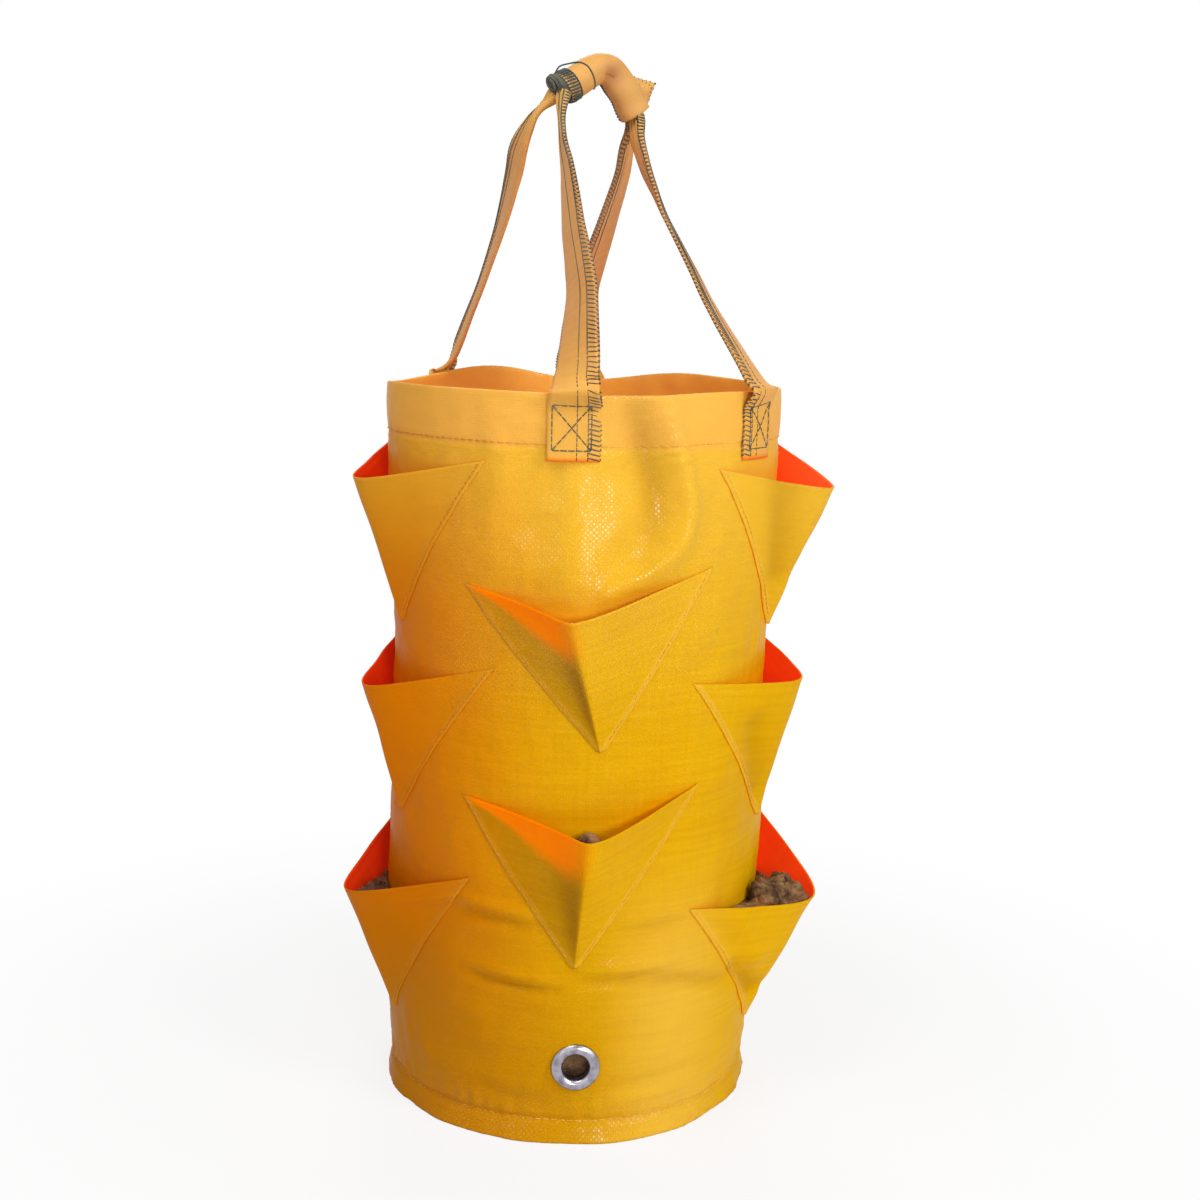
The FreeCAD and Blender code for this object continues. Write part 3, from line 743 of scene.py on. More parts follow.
beside = np.argwhere(hole != np.roll(hole, -1, axis=1))
below = np.argwhere(hole[:-1] != hole[1:])
lips = np.concatenate([lip_faces(beside + (0, 1), beside + (1, 1), hole[tuple(beside.T)]),
                       lip_faces(below + (1, 1), below + (1, 0), hole[tuple(below.T)])])
lip_map = np.stack([np.radians(wall_a), wall_z], -1).reshape(-1, 2)[lips] * (MEAN_RADIUS, 1)
print("faces left out:", 2 * int(hole.sum()), "lip faces:", len(lips))

# %% Wall piece
PLAIN = {"seam": 0.0, "glow": 0.0, "shade": 0.0}
VALLEY_SHADE, VALLEY_TOP = 0.1, 130
# A shaded dent under the rim, given as a fold
RIM_SHADE = (0.5, 8.0, ((8, 374), (13, 345), (17, 322), (20, 300), (16, 284)))

face_rows = np.repeat(np.arange(wall_rows), WALL_COLS)
lining = (face_rows >= wall_rows - sheet_rows) & (face_rows < wall_rows - 1)
slots = np.concatenate([lining[keep].astype(int), np.zeros(len(lips), int)])
low_valleys = [fold for fold in FOLDS if fold[0] < 0 and fold[2][0][1] < VALLEY_TOP]
valleys = sum(fold_height(wall_a, wall_z, *fold) for fold in low_valleys)
wall_shade = VALLEY_SHADE * np.clip(-valleys, 0, 3) + fold_height(wall_a, wall_z, *RIM_SHADE)
faces = [np.concatenate([quads[keep], lips])]
cloth = [np.concatenate([wall_map[keep], lip_map])]
wall = make_piece("wall_cloth", wall_points, faces, [YELLOW_CLOTH, RED_CLOTH], slots, cloth,
                  PLAIN | {"shade": wall_shade})
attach(wall, "bag")
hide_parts("side_wall", "rim_hem")

# %% [markdown]
# ## The pockets
# Each pocket is a flat triangle of cloth, sewn to the wall along two sides with its edges folded
# under, and bent out in the middle so that the third side gapes as a mouth. It is two nearly flat
# facets with a soft ridge. A surface over (share from point to mouth, share across) gives that.

# %% Pocket shapes
# Left corner and right corner (azimuth, z), lower point (azimuth, z), tip (azimuth, radius, z)
POCKET_LINES = {
    "front_upper_pocket": ((-36.0, 268), (37.0, 278), (4.8, 191), (-4.2, 119, 257.5)),
    "front_lower_pocket": ((-36.5, 167), (35.5, 174), (-1.2, 86), (0.9, 119, 156.5)),
    "left_upper_pocket": ((-106, 329), (-29, 326), (-68, 240), (-71, 116.5, 312)),
    "left_middle_pocket": ((-105, 229), (-26, 230), (-67, 146), (-70, 112, 211)),
    "left_lower_pocket": ((-108, 132), (-33, 127), (-72, 40), (-72, 120, 107)),
    "right_upper_pocket": ((38, 323), (107, 333), (74, 240), (74, 126, 312)),
    "right_middle_pocket": ((32, 223), (105, 233), (72, 143), (72, 115, 217)),
    "right_lower_pocket": ((34, 112), (106, 142), (71, 37), (72, 127, 106.5)),
    "back_upper_pocket": ((144, 274), (216, 271), (179, 191), (181, 118, 260)),
    "back_lower_pocket": ((145, 170), (217, 173), (181, 88), (179, 120, 158)),
}
# Creases of a pocket: height and half width in millimetres, then two ends as (s, w) of flap_point
CREASES = {
    "right_upper_pocket": ((-3.4, 8.0, (1.0, -0.5), (0.4, -0.35)),),
    "right_middle_pocket": ((-2.4, 8.0, (0.7, -0.5), (0.25, -0.6)),),
    "right_lower_pocket": ((3.0, 6.0, (0.92, -0.7), (0.55, -0.55)), (-3.9, 5.0, (0.5, -0.95), (0.28, -0.3))),
}
POCKETS = {name: lines + (CREASES.get(name, ()),) for name, lines in POCKET_LINES.items()}
POINT_SOFTNESS, MOUTH_SOFTNESS = 0.05, 0.22
FLAP_LENGTH, FLAP_HALF = 86.0, 62.0
FRONT_HOLLOW = 0.3
SEAM_LIFT, RIGHT_LIFT = 0.2, 0.3
SWELL = 0.8
SETTLE = 0.09


def flap_lift(azimuth):
    """How far a pocket's middle face lies off the wall at its seams, more on the right."""
    return SEAM_LIFT + RIGHT_LIFT * turned(azimuth, 60, 50)


def crease_height(creases, s, w):
    """Ridges and dents of a pocket: a bell of the distance to each crease's line, on the flat triangle."""
    total = np.zeros(np.broadcast(s, w).shape)
    spot = np.stack([s * FLAP_LENGTH, s * w * FLAP_HALF], -1)
    for height, width, *ends in creases:
        first, last = (np.array((e[0] * FLAP_LENGTH, e[0] * e[1] * FLAP_HALF)) for e in ends)
        way = last - first
        t = np.clip((spot - first) @ way / (way @ way), 0, 1)
        gap = np.linalg.norm(spot - first - t[..., None] * way, axis=-1)
        total = total + height * bell(gap, 0, width)
    return total


def flap_point(shape, s, w):
    """Middle face of a pocket at share s from point to mouth and w from -1 to 1 across.

    Both seams run straight on the unrolled wall and the ridge runs straight to the tip. Across, the
    point slides from the ridge to a seam by a softened |w|, and never goes under the wall.
    """
    left, right, (ap, zp), (at, rt, zt), creases = shape
    seams = []
    for azimuth, z in (left, right):
        a = ap + (azimuth - ap) * s
        h = zp + (z - zp) * s
        seams.append(polar(wall_radius(a, h) + flap_lift(a), a, wall_height(a, h)))
    start = polar(wall_radius(ap, zp) + flap_lift(ap), ap, zp)
    ridge = start + (polar(rt, at, zt) - start) * s[..., None]
    soft = POINT_SOFTNESS + (MOUTH_SOFTNESS - POINT_SOFTNESS) * s ** 3
    slide = (np.sqrt(w * w + soft ** 2) - soft) / (np.sqrt(1 + soft ** 2) - soft)
    slide = np.where(w < 0, slide ** (1 - FRONT_HOLLOW * turned(ap, 0, 30)), slide)
    middle = (seams[0] + seams[1]) / 2
    across = (seams[1] - seams[0]) / 2
    point = ridge * (1 - slide[..., None]) + middle * slide[..., None] + across * w[..., None]
    radius = np.hypot(point[..., 0], point[..., 1])
    azimuth = np.degrees(np.arctan2(point[..., 0], -point[..., 1]))
    belly = s * (1 - w * w) * (1 - s * 0.5)
    swell = SWELL * waves(azimuth, point[..., 2], 29, 10, 24, 70) * belly
    swell = swell + crease_height(creases, s, w) * (1 - w ** 8)
    ground = wall_radius(azimuth, point[..., 2]) + flap_lift(azimuth)
    proud = radius + swell - ground
    proud = 0.5 * (proud + np.sqrt(proud * proud + SETTLE))
    return polar(ground + proud, azimuth, point[..., 2])


print(len(POCKETS), "pockets, of which creased:", len(CREASES))

# %% Pocket pieces
FLAP_ROWS, FLAP_COLS = 60, 76
POINT_SHARE = 0.035
FOLD_WIDTH = 4.6
EDGE_SKIN, SKIN, DOUBLED, BACK = 0.05, 0.25, 0.14, 0.3
LEFT_FULLNESS = 0.55
CREASE_SHADE, CREASE_DEPTH = 0.4, 4
FACET_SHADE, RIDGE_SHADE, MOUTH_GLOW = 0.34, 0.45, 0.95


def flap_grid(shape):
    """The pocket on a grid, finer towards the seams.

    Returns the parameters s and w, the points, the length across from the middle and from the seams.
    """
    s, t = np.meshgrid(np.linspace(POINT_SHARE, 1, FLAP_ROWS), np.linspace(-1, 1, FLAP_COLS), indexing="ij")
    w = np.sin(t * math.pi / 2)
    points = flap_point(shape, s, w)
    run = np.linalg.norm(np.diff(points, axis=1), axis=-1)
    ahead = np.concatenate([np.zeros((FLAP_ROWS, 1)), np.cumsum(run, axis=1)], axis=1)
    return s, w, points, ahead - ahead[:, -1:] / 2, np.minimum(ahead, ahead[:, -1:] - ahead)


def front_marks(s, w):
    """Painted shade on a front pocket's left facet, and a painted glow of the lining through the cloth along
    its mouth.
    """
    middle = smooth_step(s, 0.04, 0.3) * (1 - smooth_step(s, 0.5, 1.0))
    shade = FACET_SHADE + RIDGE_SHADE * bell(w, -0.1, 0.24) * middle
    depth = 0.05 + 0.33 * smooth_step(w, -0.95, -0.2)
    glow = MOUTH_GLOW * smooth_step((s - 1 + depth) / depth, 0.0, 0.6) * (1 - smooth_step(w, -0.2, 0.12))
    return {"glow": glow * smooth_step(w, -1.0, -0.86), "shade": shade * (1 - smooth_step(w, -0.04, 0.03))}


for name, shape in POCKETS.items():
    s, w, points, across, edge = flap_grid(shape)
    normal = grid_normals(points)
    if np.einsum("ijk,ijk->", normal, points * (1, 1, 0)) < 0:
        normal = -normal
    length = np.linalg.norm(points[-1, FLAP_COLS // 2] - points[0, FLAP_COLS // 2])
    seam = 1 - smooth_step(edge, FOLD_WIDTH - 0.5, FOLD_WIDTH + 0.5)
    lip = smooth_step(s, 0.955, 0.985)
    fullness = LEFT_FULLNESS if name.startswith("left") else 1.0
    thick = EDGE_SKIN + fullness * (SKIN + DOUBLED * np.maximum(seam, lip)) * smooth_step(edge, 0.0, 1.0)
    dents = np.clip(-crease_height(shape[4], s, w) / CREASE_DEPTH, 0, 1)
    marks = PLAIN | {"seam": seam, "shade": CREASE_SHADE * dents}
    if name.startswith("front"):
        marks |= front_marks(s, w)
    outer, inner = points + normal * thick[..., None], points - normal * BACK
    flap = sheet_piece(name.replace("pocket", "flap"), outer, inner, np.stack([across, s * length], -1),
                       [YELLOW_CLOTH, RED_CLOTH], marks)
    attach(flap, "bag")
    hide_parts(name)

# %% [markdown]
# ## The strap handles
# Each handle is one folded strap: it is sewn flat under the rim, rises as a leg, is gathered in the
# grip and comes down as the second leg to its other tab. Along the way it twists. A band carried
# along a curve does this: every station has a place, a direction across, a width and a thickness.

# %% Strap finish
strap = Finish("strap_cloth", Specular_IOR_Level=0.2)
base, rough, normal = film(strap, paint(234, 170, 92), paint(216, 148, 80), 0.0004)
_, _, height = strap.split(strap.place())
base = strap.mix(height.step(0.40, 0.33), base, paint(238, 176, 70))
base = strap.mix(height.step(0.475, 0.485) * 0.6, base, paint(228, 178, 92))
base = strap.mix(strap.mark("shade"), base, paint(178, 118, 78))
base = strap.mix(strap.mark("glow"), base, EMBER)
STRAP_CLOTH = strap.shade(Base_Color=base, Roughness=rough + 0.12, Normal=normal)
print(STRAP_CLOTH.name, len(strap.tree.nodes), "nodes")

# %% Thread finishes
TWIST_SCALE, TWIST_RELIEF = 900.0, 0.0003


def thread_finish(name, patches, dark, light, **constants):
    """A spun thread: two tones in patches and a fine twist. Returns the finish, its colour and its bump."""
    finish = Finish(name, **constants)
    twist = finish.noise(finish.place(), TWIST_SCALE, 2.0)
    tone = finish.noise(finish.place(), patches, 2.0)
    return finish, finish.mix(tone.step(0.3, 0.7), dark, light), finish.bump(twist, TWIST_RELIEF)


thread, base, normal = thread_finish("dark_thread", 60.0, paint(70, 74, 70), paint(120, 116, 102),
                                     Roughness=0.75, Specular_IOR_Level=0.3)
DARK_THREAD = thread.shade(Base_Color=base, Normal=normal)

thread, base, normal = thread_finish("amber_thread", 45.0, paint(214, 150, 40), paint(246, 196, 84),
                                     Roughness=0.65, Specular_IOR_Level=0.35)
side, _, _ = thread.split(thread.place())
# Painted shade: the thread turns orange on the left, like the cloth there
base = thread.mix((0 - side).step(0.0, 0.06) * 0.75, base, paint(214, 122, 10))
AMBER_THREAD = thread.shade(Base_Color=base, Normal=normal)
print("threads:", DARK_THREAD.name, AMBER_THREAD.name)

# %% Middle line of the grip
# Middle line of the hand wrap, from its left end over the bend to its right end
GRIP_LINE = ((-14.8, -9, 498), (-6.2, -5, 503.8), (3.6, 0.5, 509.2), (11.8, 5.5, 504.6), (21.5, 11, 489.4))
STRAND_OFFSET = 2.5


def through(rows, steps):
    """A smooth curve through the rows of numbers, with a number of steps between each two.

    Between two rows it is a cubic; its slope at a row is half the difference of that row's neighbours.
    """
    p = np.asarray(rows, float)
    p = np.concatenate([2 * p[:1] - p[1:2], p, 2 * p[-1:] - p[-2:-1]])
    t = np.linspace(0, 1, steps, endpoint=False)[None, :, None]
    a, b, c, d = (p[k:len(p) - 3 + k, None, :] for k in range(4))
    curve = b + 0.5 * t * (c - a + t * (2 * a - 5 * b + 4 * c - d + t * (3 * (b - c) + d - a)))
    return np.concatenate([curve.reshape(-1, p.shape[1]), p[-2:-1]])


grip_curve = through(GRIP_LINE, 24)
grip_run = length_along(grip_curve)
grip_slope = unit(np.gradient(grip_curve, grip_run, axis=0))
GRIP_LENGTH = float(grip_run[-1])
span = grip_curve[-1] - grip_curve[0]
FORWARD = unit(np.array([span[1], -span[0], 0.0]))


def grip_place(share):
    """Place, direction and upright at a share of the grip's length, carried on straight to the left."""
    share = np.asarray(share, float)
    spot, along = (np.stack([np.interp(share, grip_run / GRIP_LENGTH, part[:, k]) for k in range(3)], -1)
                   for part in (grip_curve, grip_slope))
    along = unit(along)
    spot = spot + (along * (1, 1, 0) - (0, 0, 0.25)) * (np.minimum(share, 0) * GRIP_LENGTH)[..., None]
    return spot, along, unit(np.cross(FORWARD, along))


print("grip length:", round(GRIP_LENGTH, 1), "mm")

# %% Strap paths
STRAP_WIDTH = 24.0
TAB_THICKNESS, TAB_GAP = 1.1, 0.25
TAB_LEVELS = (327.0, 335.0, 343.0, 351.0)
HINGE_HEIGHT, FOOT_GAP = 363.5, 2.4
GRIP_STATIONS = 7
STATION_STEPS = 9
# Width, thickness and gather of a strap in the grip
GRIP_SIZE = (6.4, 4.0, 1.0)
# Each leg: azimuth of its foot, heading of the flat tab, then stations: share of the way up, shift to
# the right, heading of the inner edge in degrees, width, thickness
LEGS = {
    "front": (-5.0, 0, (
        (-0.036, 0, -12, 22, 1.3), (0.0, 0, -30, 22, 1.3), (0.05, 1, -43, 23, 1.3),
        (0.1, 1.6, -51, 24, 1.3), (0.2, 2.8, -59, 24, 1.3), (0.3, 3.6, -64, 24, 1.3),
        (0.4, 2.5, -67, 23.5, 1.4), (0.5, 0.9, -71, 23, 1.4), (0.6, -0.1, -75, 22, 1.5),
        (0.7, -1.2, -79, 20, 1.4), (0.8, -2.3, -87, 17, 1.4), (0.9, -1.9, -88, 12, 2.0),
    )),
    "right": (54.0, 234, (
        (-0.036, -1.4, 237, 22, 1.3), (0.0, -3.0, 241, 22, 1.3), (0.05, -3.9, 246, 23, 1.3),
        (0.1, -4.8, 249, 24, 1.3), (0.2, -6.5, 252, 24, 1.3), (0.3, -7.7, 255, 24, 1.3),
        (0.4, -7.9, 257, 23.5, 1.4), (0.5, -8.6, 260, 23, 1.4), (0.6, -9.5, 264, 22, 1.5),
        (0.7, -8.6, 269, 21, 1.6), (0.8, -7.5, 276, 19, 1.8), (0.9, -5.0, 281, 14, 2.6),
    )),
    "back": (177.5, 177.5, (
        (-0.036, -2.6, 181, 23, 1.3), (0.0, -3.8, 188, 24, 1.3), (0.05, -4.7, 199, 24, 1.3),
        (0.1, -5.5, 211, 24, 1.3), (0.2, -7.3, 223, 24, 1.3), (0.3, -8.4, 233, 24, 1.3),
        (0.4, -6.6, 239, 23.5, 1.4), (0.5, -4.7, 242, 23, 1.4), (0.6, -2.8, 246, 22, 1.5),
        (0.7, -0.9, 249, 21, 1.6), (0.8, 0.5, 251, 18, 1.8), (0.9, 0.1, 253, 13, 2.6),
    )),
    "left": (-134.0, 46, (
        (-0.036, 1.2, 56, 19, 1.4), (0.0, 2.6, 78, 15, 1.5), (0.05, 2.6, 99, 17, 1.5),
        (0.1, 2.5, 101, 19, 1.4), (0.2, 2.0, 99, 21, 1.3), (0.3, 1.5, 98, 22, 1.3),
        (0.4, 0.4, 99, 22, 1.3), (0.5, -1.0, 101, 22, 1.3), (0.6, -3.0, 104, 22, 1.4),
        (0.7, -5.5, 107, 22, 1.5), (0.8, -8.0, 112, 20, 1.6), (0.89, -7.4, 108, 14, 1.8),
        (0.95, -4.2, 100, 9, 2.4),
    )),
}
# Each handle: its two legs, the grip's shares where it enters and leaves, its side of the grip, and how
# far it has rolled over at the end, in degrees
HANDLES = {
    "front_handle": ("front", "right", (0, 1), 1, 0),
    "rear_handle": ("back", "left", (1, 0), -1, 120),
}


def heading(degrees):
    """A level direction, in degrees from right towards the back."""
    return np.array([math.cos(math.radians(degrees)), math.sin(math.radians(degrees)), 0.0])


def leg_rows(leg, end):
    """Stations of a strap from its tab's lower edge up to the grip: place, across, width, thickness."""
    azimuth, flat_heading, stations = LEGS[leg]
    rows = []
    for z in TAB_LEVELS:
        spot = polar(wall_radius(azimuth, z) + TAB_GAP + TAB_THICKNESS / 2, azimuth, z)
        rows.append((*spot, *heading(flat_heading), STRAP_WIDTH, TAB_THICKNESS, 0))
    foot = polar(RIM_RADIUS + FOOT_GAP, azimuth, HINGE_HEIGHT)
    for share, shift, turn, width, thickness in stations:
        spot = foot + (end - foot) * share + (shift, 0, 0)
        rows.append((*spot, *heading(turn), width, thickness, smooth_step(share, 0.6, 0.95)))
    return rows


def handle_path(name):
    """All stations of a handle as arrays: place, across, outwards, half width, half thickness, gather."""
    first, second, ends, side, end_roll = HANDLES[name]
    spots, _, upright = grip_place(np.linspace(*ends, GRIP_STATIONS))
    spots = spots + FORWARD * (side * STRAND_OFFSET)
    roll = np.radians(np.linspace(0, end_roll, GRIP_STATIONS))[:, None]
    across = FORWARD * np.cos(roll) + upright * np.sin(roll)
    size = np.tile(GRIP_SIZE, (GRIP_STATIONS, 1))
    grip = [tuple(row) for row in np.concatenate([spots, across, size], axis=1)]
    rows = leg_rows(first, spots[0]) + grip + leg_rows(second, spots[-1])[::-1]
    path = through(rows, STATION_STEPS)
    place, width, thickness, gather = path[:, :3], path[:, 6], path[:, 7], path[:, 8]
    forward = unit(np.gradient(place, axis=0))
    across = unit(path[:, 3:6] - forward * np.einsum("ij,ij->i", path[:, 3:6], forward)[:, None])
    out = np.cross(across, forward)
    if out[2] @ (place[2] * (1, 1, 0)) < 0:
        out = -out
    return place, across, out, width / 2, thickness / 2, np.clip(gather, 0, 1)


HANDLE_PATHS = {name: handle_path(name) for name in HANDLES}
print("stations:", {name: len(path[0]) for name, path in HANDLE_PATHS.items()})

# %% Strap bands
BAND_COLS = 17
PLEAT, SAG = 0.6, 0.7
END_GLOW = 0.9
GATHERED_SHARE = 0.85


def on_strap(path, station, x, lift=0.0):
    """Point on a strap at a station (a fraction is fine), x from -1 to 1 across, lifted off its middle."""
    place, across, out, half, thick, gather = path
    index = np.arange(len(half))
    spot, aside, away = (np.stack([np.interp(station, index, part[:, k]) for k in range(3)], -1)
                         for part in (place, across, out))
    half, thick, gather = (np.interp(station, index, part) for part in (half, thick, gather))
    pleat = gather * PLEAT * np.cos(x * 3 * math.pi) - SAG * (1 - gather) * x * x
    return spot + aside * (half * x)[..., None] + away * (pleat + lift * thick)[..., None], unit(away)


def with_handle(piece):
    """The piece's placement, baked into its mesh."""
    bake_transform(piece)


for handle, path in HANDLE_PATHS.items():
    run = length_along(path[0])
    length = float(run[-1])
    station, x = np.meshgrid(np.arange(len(run), dtype=float), np.linspace(-1, 1, BAND_COLS), indexing="ij")
    outer, _ = on_strap(path, station, x, 1.0)
    inner, _ = on_strap(path, station, x, -1.0)
    cloth = np.stack([x * STRAP_WIDTH / 2, np.repeat(run[:, None], BAND_COLS, axis=1)], -1)
    from_end = np.minimum(run, length - run)
    glow = END_GLOW * (1 - smooth_step(from_end, 1.2, 2.2))[:, None]
    band = sheet_piece(handle + "_band", outer, inner, cloth, [STRAP_CLOTH, STRAP_CLOTH],
                       {"glow": glow, "shade": 0.0})
    with_handle(band)
    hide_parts(handle + "_strap", *(leg + "_strap_tab" for leg in HANDLES[handle][:2]))
    length * MM
    STRAP_WIDTH * length * 1e-6 * GATHERED_SHARE
    print(handle, "strap length", round(length, 1), "mm")

# %% [markdown]
# ## Sewing
# Every seam is a row of short thread loops. A dashed texture would look flat from close up, so
# each stitch is a small six-sided tube that rises out of the cloth and dives back in. All the
# stitches of a row are made at once, as one array.

# %% Stitch helper
RING_PLACES = np.array([-0.5, -0.36, 0.0, 0.36, 0.5])
RING_WIDTHS = np.array([0.4, 0.9, 1.0, 0.9, 0.4])
THREAD_SIDES = 6


def stitch_arrays(start, end, out, radius, arch=0.9, sink=0.55):
    """Threads from start to end: tubes of five rings whose middle is arched out of the cloth."""
    along = end - start
    ahead = unit(along)
    out = unit(out - ahead * np.einsum("ij,ij->i", out, ahead)[:, None])
    aside = np.cross(ahead, out)
    turn = np.arange(THREAD_SIDES) * 2 * math.pi / THREAD_SIDES
    rise = (1 - (2 * RING_PLACES) ** 2) * arch - sink
    up = radius * (rise[:, None] + RING_WIDTHS[:, None] * np.sin(turn))
    wide = radius * RING_WIDTHS[:, None] * np.cos(turn)
    middle = ((start + end) / 2)[:, None, None, :]
    points = (middle + along[:, None, None, :] * RING_PLACES[None, :, None, None]
              + out[:, None, None, :] * up[None, ..., None]
              + aside[:, None, None, :] * wide[None, ..., None])
    rings = len(RING_PLACES)
    i, j = corner_numbers(rings, THREAD_SIDES, wrap_cols=True)
    tube = i * THREAD_SIDES + j % THREAD_SIDES
    caps = np.array([(0, 1, 2, 3), (0, 3, 4, 5)])
    faces = np.concatenate([tube, caps[:, ::-1], caps + (rings - 1) * THREAD_SIDES])
    shift = np.arange(len(start)) * rings * THREAD_SIDES
    return points.reshape(-1, 3), (faces[None] + shift[:, None, None]).reshape(-1, 4)


def sew(name, rows, material):
    """One piece from several rows of stitches, each row as the arguments of stitch_arrays."""
    points, faces, total = [], [], 0
    for row in rows:
        p, f = stitch_arrays(*row)
        points.append(p)
        faces.append(f + total)
        total += len(p)
    piece = make_piece(name, np.concatenate(points), [np.concatenate(faces)], [material])
    return piece


def ring_row(z, pitch, length, radius, lift, inward=False):
    """Level stitches round the wall, on its outer face or, lifted inwards, on its inner one."""
    count = int(2 * math.pi * RIM_RADIUS / pitch)
    middle = (np.arange(count) + 0.5) * 360 / count
    half = math.degrees(length / 2 / RIM_RADIUS)
    ends = [polar(wall_radius(a, z) + lift, a, wall_height(a, z)) for a in (middle - half, middle + half)]
    out = polar(-1.0 if inward else 1.0, middle, 0.0)
    return ends[0], ends[1], out, radius


def upright_row(azimuth, low, high, pitch, length, radius, lift):
    """Upright stitches on the wall's outer face."""
    count = int((high - low) / pitch)
    z = low + (np.arange(count) + 0.5) * pitch
    ends = [polar(wall_radius(azimuth, z + d) + lift, azimuth, wall_height(azimuth, z + d))
            for d in (-length / 2, length / 2)]
    return ends[0], ends[1], np.tile(polar(1.0, azimuth, 0.0), (count, 1)), radius


print("points of one stitch:", len(RING_PLACES) * THREAD_SIDES)

# %% Seams of the wall
# Stitches: pitch, length and radius of the thread
HEM_STITCH = (4.0, 3.3, 0.26)
BASE_STITCH = (4.2, 3.4, 0.3)
LAP_STITCH = (4.0, 3.2, 0.26)
seam_rows = [ring_row(HEM_LINE + 1.2, *HEM_STITCH, 0.1),
             ring_row(HEM_LINE + 3.2, *HEM_STITCH, -HEM_LAYERS - 0.05, inward=True),
             ring_row(BASE_SEAM, *BASE_STITCH, 0.15)]
# One upright row lies on the closing lap and one on the wall beside it
for shift, lift in ((-5.2, 0.75), (0.8, 0.1)):
    seam_rows.append(upright_row(SEAM_AZIMUTH + shift, 13, 354, *LAP_STITCH, lift))
wall_seams = sew("wall_seams", seam_rows, AMBER_THREAD)
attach(wall_seams, "bag")

# %% Closing seam
LAP_WIDTH, LAP_LOW, LAP_HIGH = 13.0, 11.5, 356.5
LAP_GAP, LAP_FACE, LAP_RIPPLE = 0.12, 0.85, 0.25
shift, z = np.meshgrid(np.linspace(-LAP_WIDTH, 0, 9) / RIM_RADIUS, np.linspace(LAP_LOW, LAP_HIGH, 170),
                       indexing="ij")
azimuth = SEAM_AZIMUTH + np.degrees(shift)
ripple = LAP_RIPPLE * waves(azimuth, z, 41, 12, 10, 40)
ground = wall_radius(azimuth, z)
inner, outer = (polar(radius, azimuth, wall_height(azimuth, z))
                for radius in (ground + LAP_GAP, ground + LAP_FACE + ripple * (shift < 0)))
lap = sheet_piece("closing_lap", outer, inner, np.stack([shift * RIM_RADIUS, z], -1),
                  [YELLOW_CLOTH, YELLOW_CLOTH], PLAIN)
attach(lap, "bag")
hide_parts("side_seam_strip")

# %% Seams of the pockets
FLAP_PITCH, FLAP_STITCH_HALF, FLAP_THREAD = 3.3, 1.25, 0.22
FLAP_INSET, FLAP_STITCH_LIFT = 2.6, 0.55
FLAP_SEAM_START, FLAP_SEAM_SHARE = 0.1, 0.885


def flap_line(shape, s, side, inset):
    """Points and normals on a pocket's outer face at a distance inside one of its seams."""
    facet = flap_point(shape, s, np.zeros_like(s)) - flap_point(shape, s, np.full_like(s, side))
    half = np.linalg.norm(facet, axis=-1)
    w = side * np.clip(1 - inset / half, 0.05, 1)
    small = 0.01
    across = flap_point(shape, s, w + small) - flap_point(shape, s, w - small)
    along = flap_point(shape, np.minimum(s + small, 1), w) - flap_point(shape, s - small, w)
    normal = unit(np.cross(across, along))
    points = flap_point(shape, s, w)
    normal = normal * np.sign(np.einsum("ij,ij->i", normal, points * (1, 1, 0)))[:, None]
    return points, normal


rows = []
for shape in POCKETS.values():
    for side in (-1.0, 1.0):
        low, high = flap_point(shape, np.array([0.05, 1.0]), np.array([side, side]))
        length = np.linalg.norm(high - low)
        count = int(length / FLAP_PITCH)
        s = FLAP_SEAM_START + (np.arange(count) + 0.5) / count * FLAP_SEAM_SHARE
        half = FLAP_STITCH_HALF / length
        (first, normal), (last, _) = (flap_line(shape, s + d, side, FLAP_INSET) for d in (-half, half))
        lift = normal * FLAP_STITCH_LIFT
        rows.append((first + lift, last + lift, normal, FLAP_THREAD))
pocket_seams = sew("pocket_seams", rows, AMBER_THREAD)
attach(pocket_seams, "bag")

# %% Stitches of the straps
OVERLOCK_PITCH, OVERLOCK_SLANT = 2.2, 1.9
OVERLOCK_EDGE, OVERLOCK_REACH, OVERLOCK_NARROWING = 1.02, 0.54, 0.36
# Lifts off the strap's middle in half thicknesses, and the radius of the threads
OVERLOCK_LIFT, EDGE_TURN, ROW_LIFT, BOX_LIFT = 1.15, 1.1, 1.12, 1.15
OVERLOCK_THREAD, EDGE_THREAD, BOX_THREAD = 0.3, 0.46, 0.29
# The two straight rows: length of a stitch and radius of the thread
CHAIN_STITCH, MIDDLE_STITCH = (2.7, 0.24), (2.5, 0.2)
MIDDLE_ROW = 0.12
STRAP_MARGIN = 1.2
LOOSE_GATHER = 0.9995
TAB_STATIONS = 40
# The box and cross on each tab: corners as share across and height, then its six lines
BOX = np.array([(-0.82, 332), (0.66, 332), (0.66, 352.5), (-0.82, 352.5)])
BOX_LINES = ((0, 1), (1, 2), (2, 3), (3, 0), (0, 2), (1, 3))
BOX_PITCH, BOX_HALF = 3.4, 0.48


def strap_row(path, stations, x_first, x_last, slant, radius, lift):
    """Threads on a strap from one share across to another, slanted along it by a number of stations."""
    first, out = on_strap(path, stations - slant / 2, x_first, lift)
    last, _ = on_strap(path, stations + slant / 2, x_last, lift)
    return first, last, out * np.sign(lift), radius


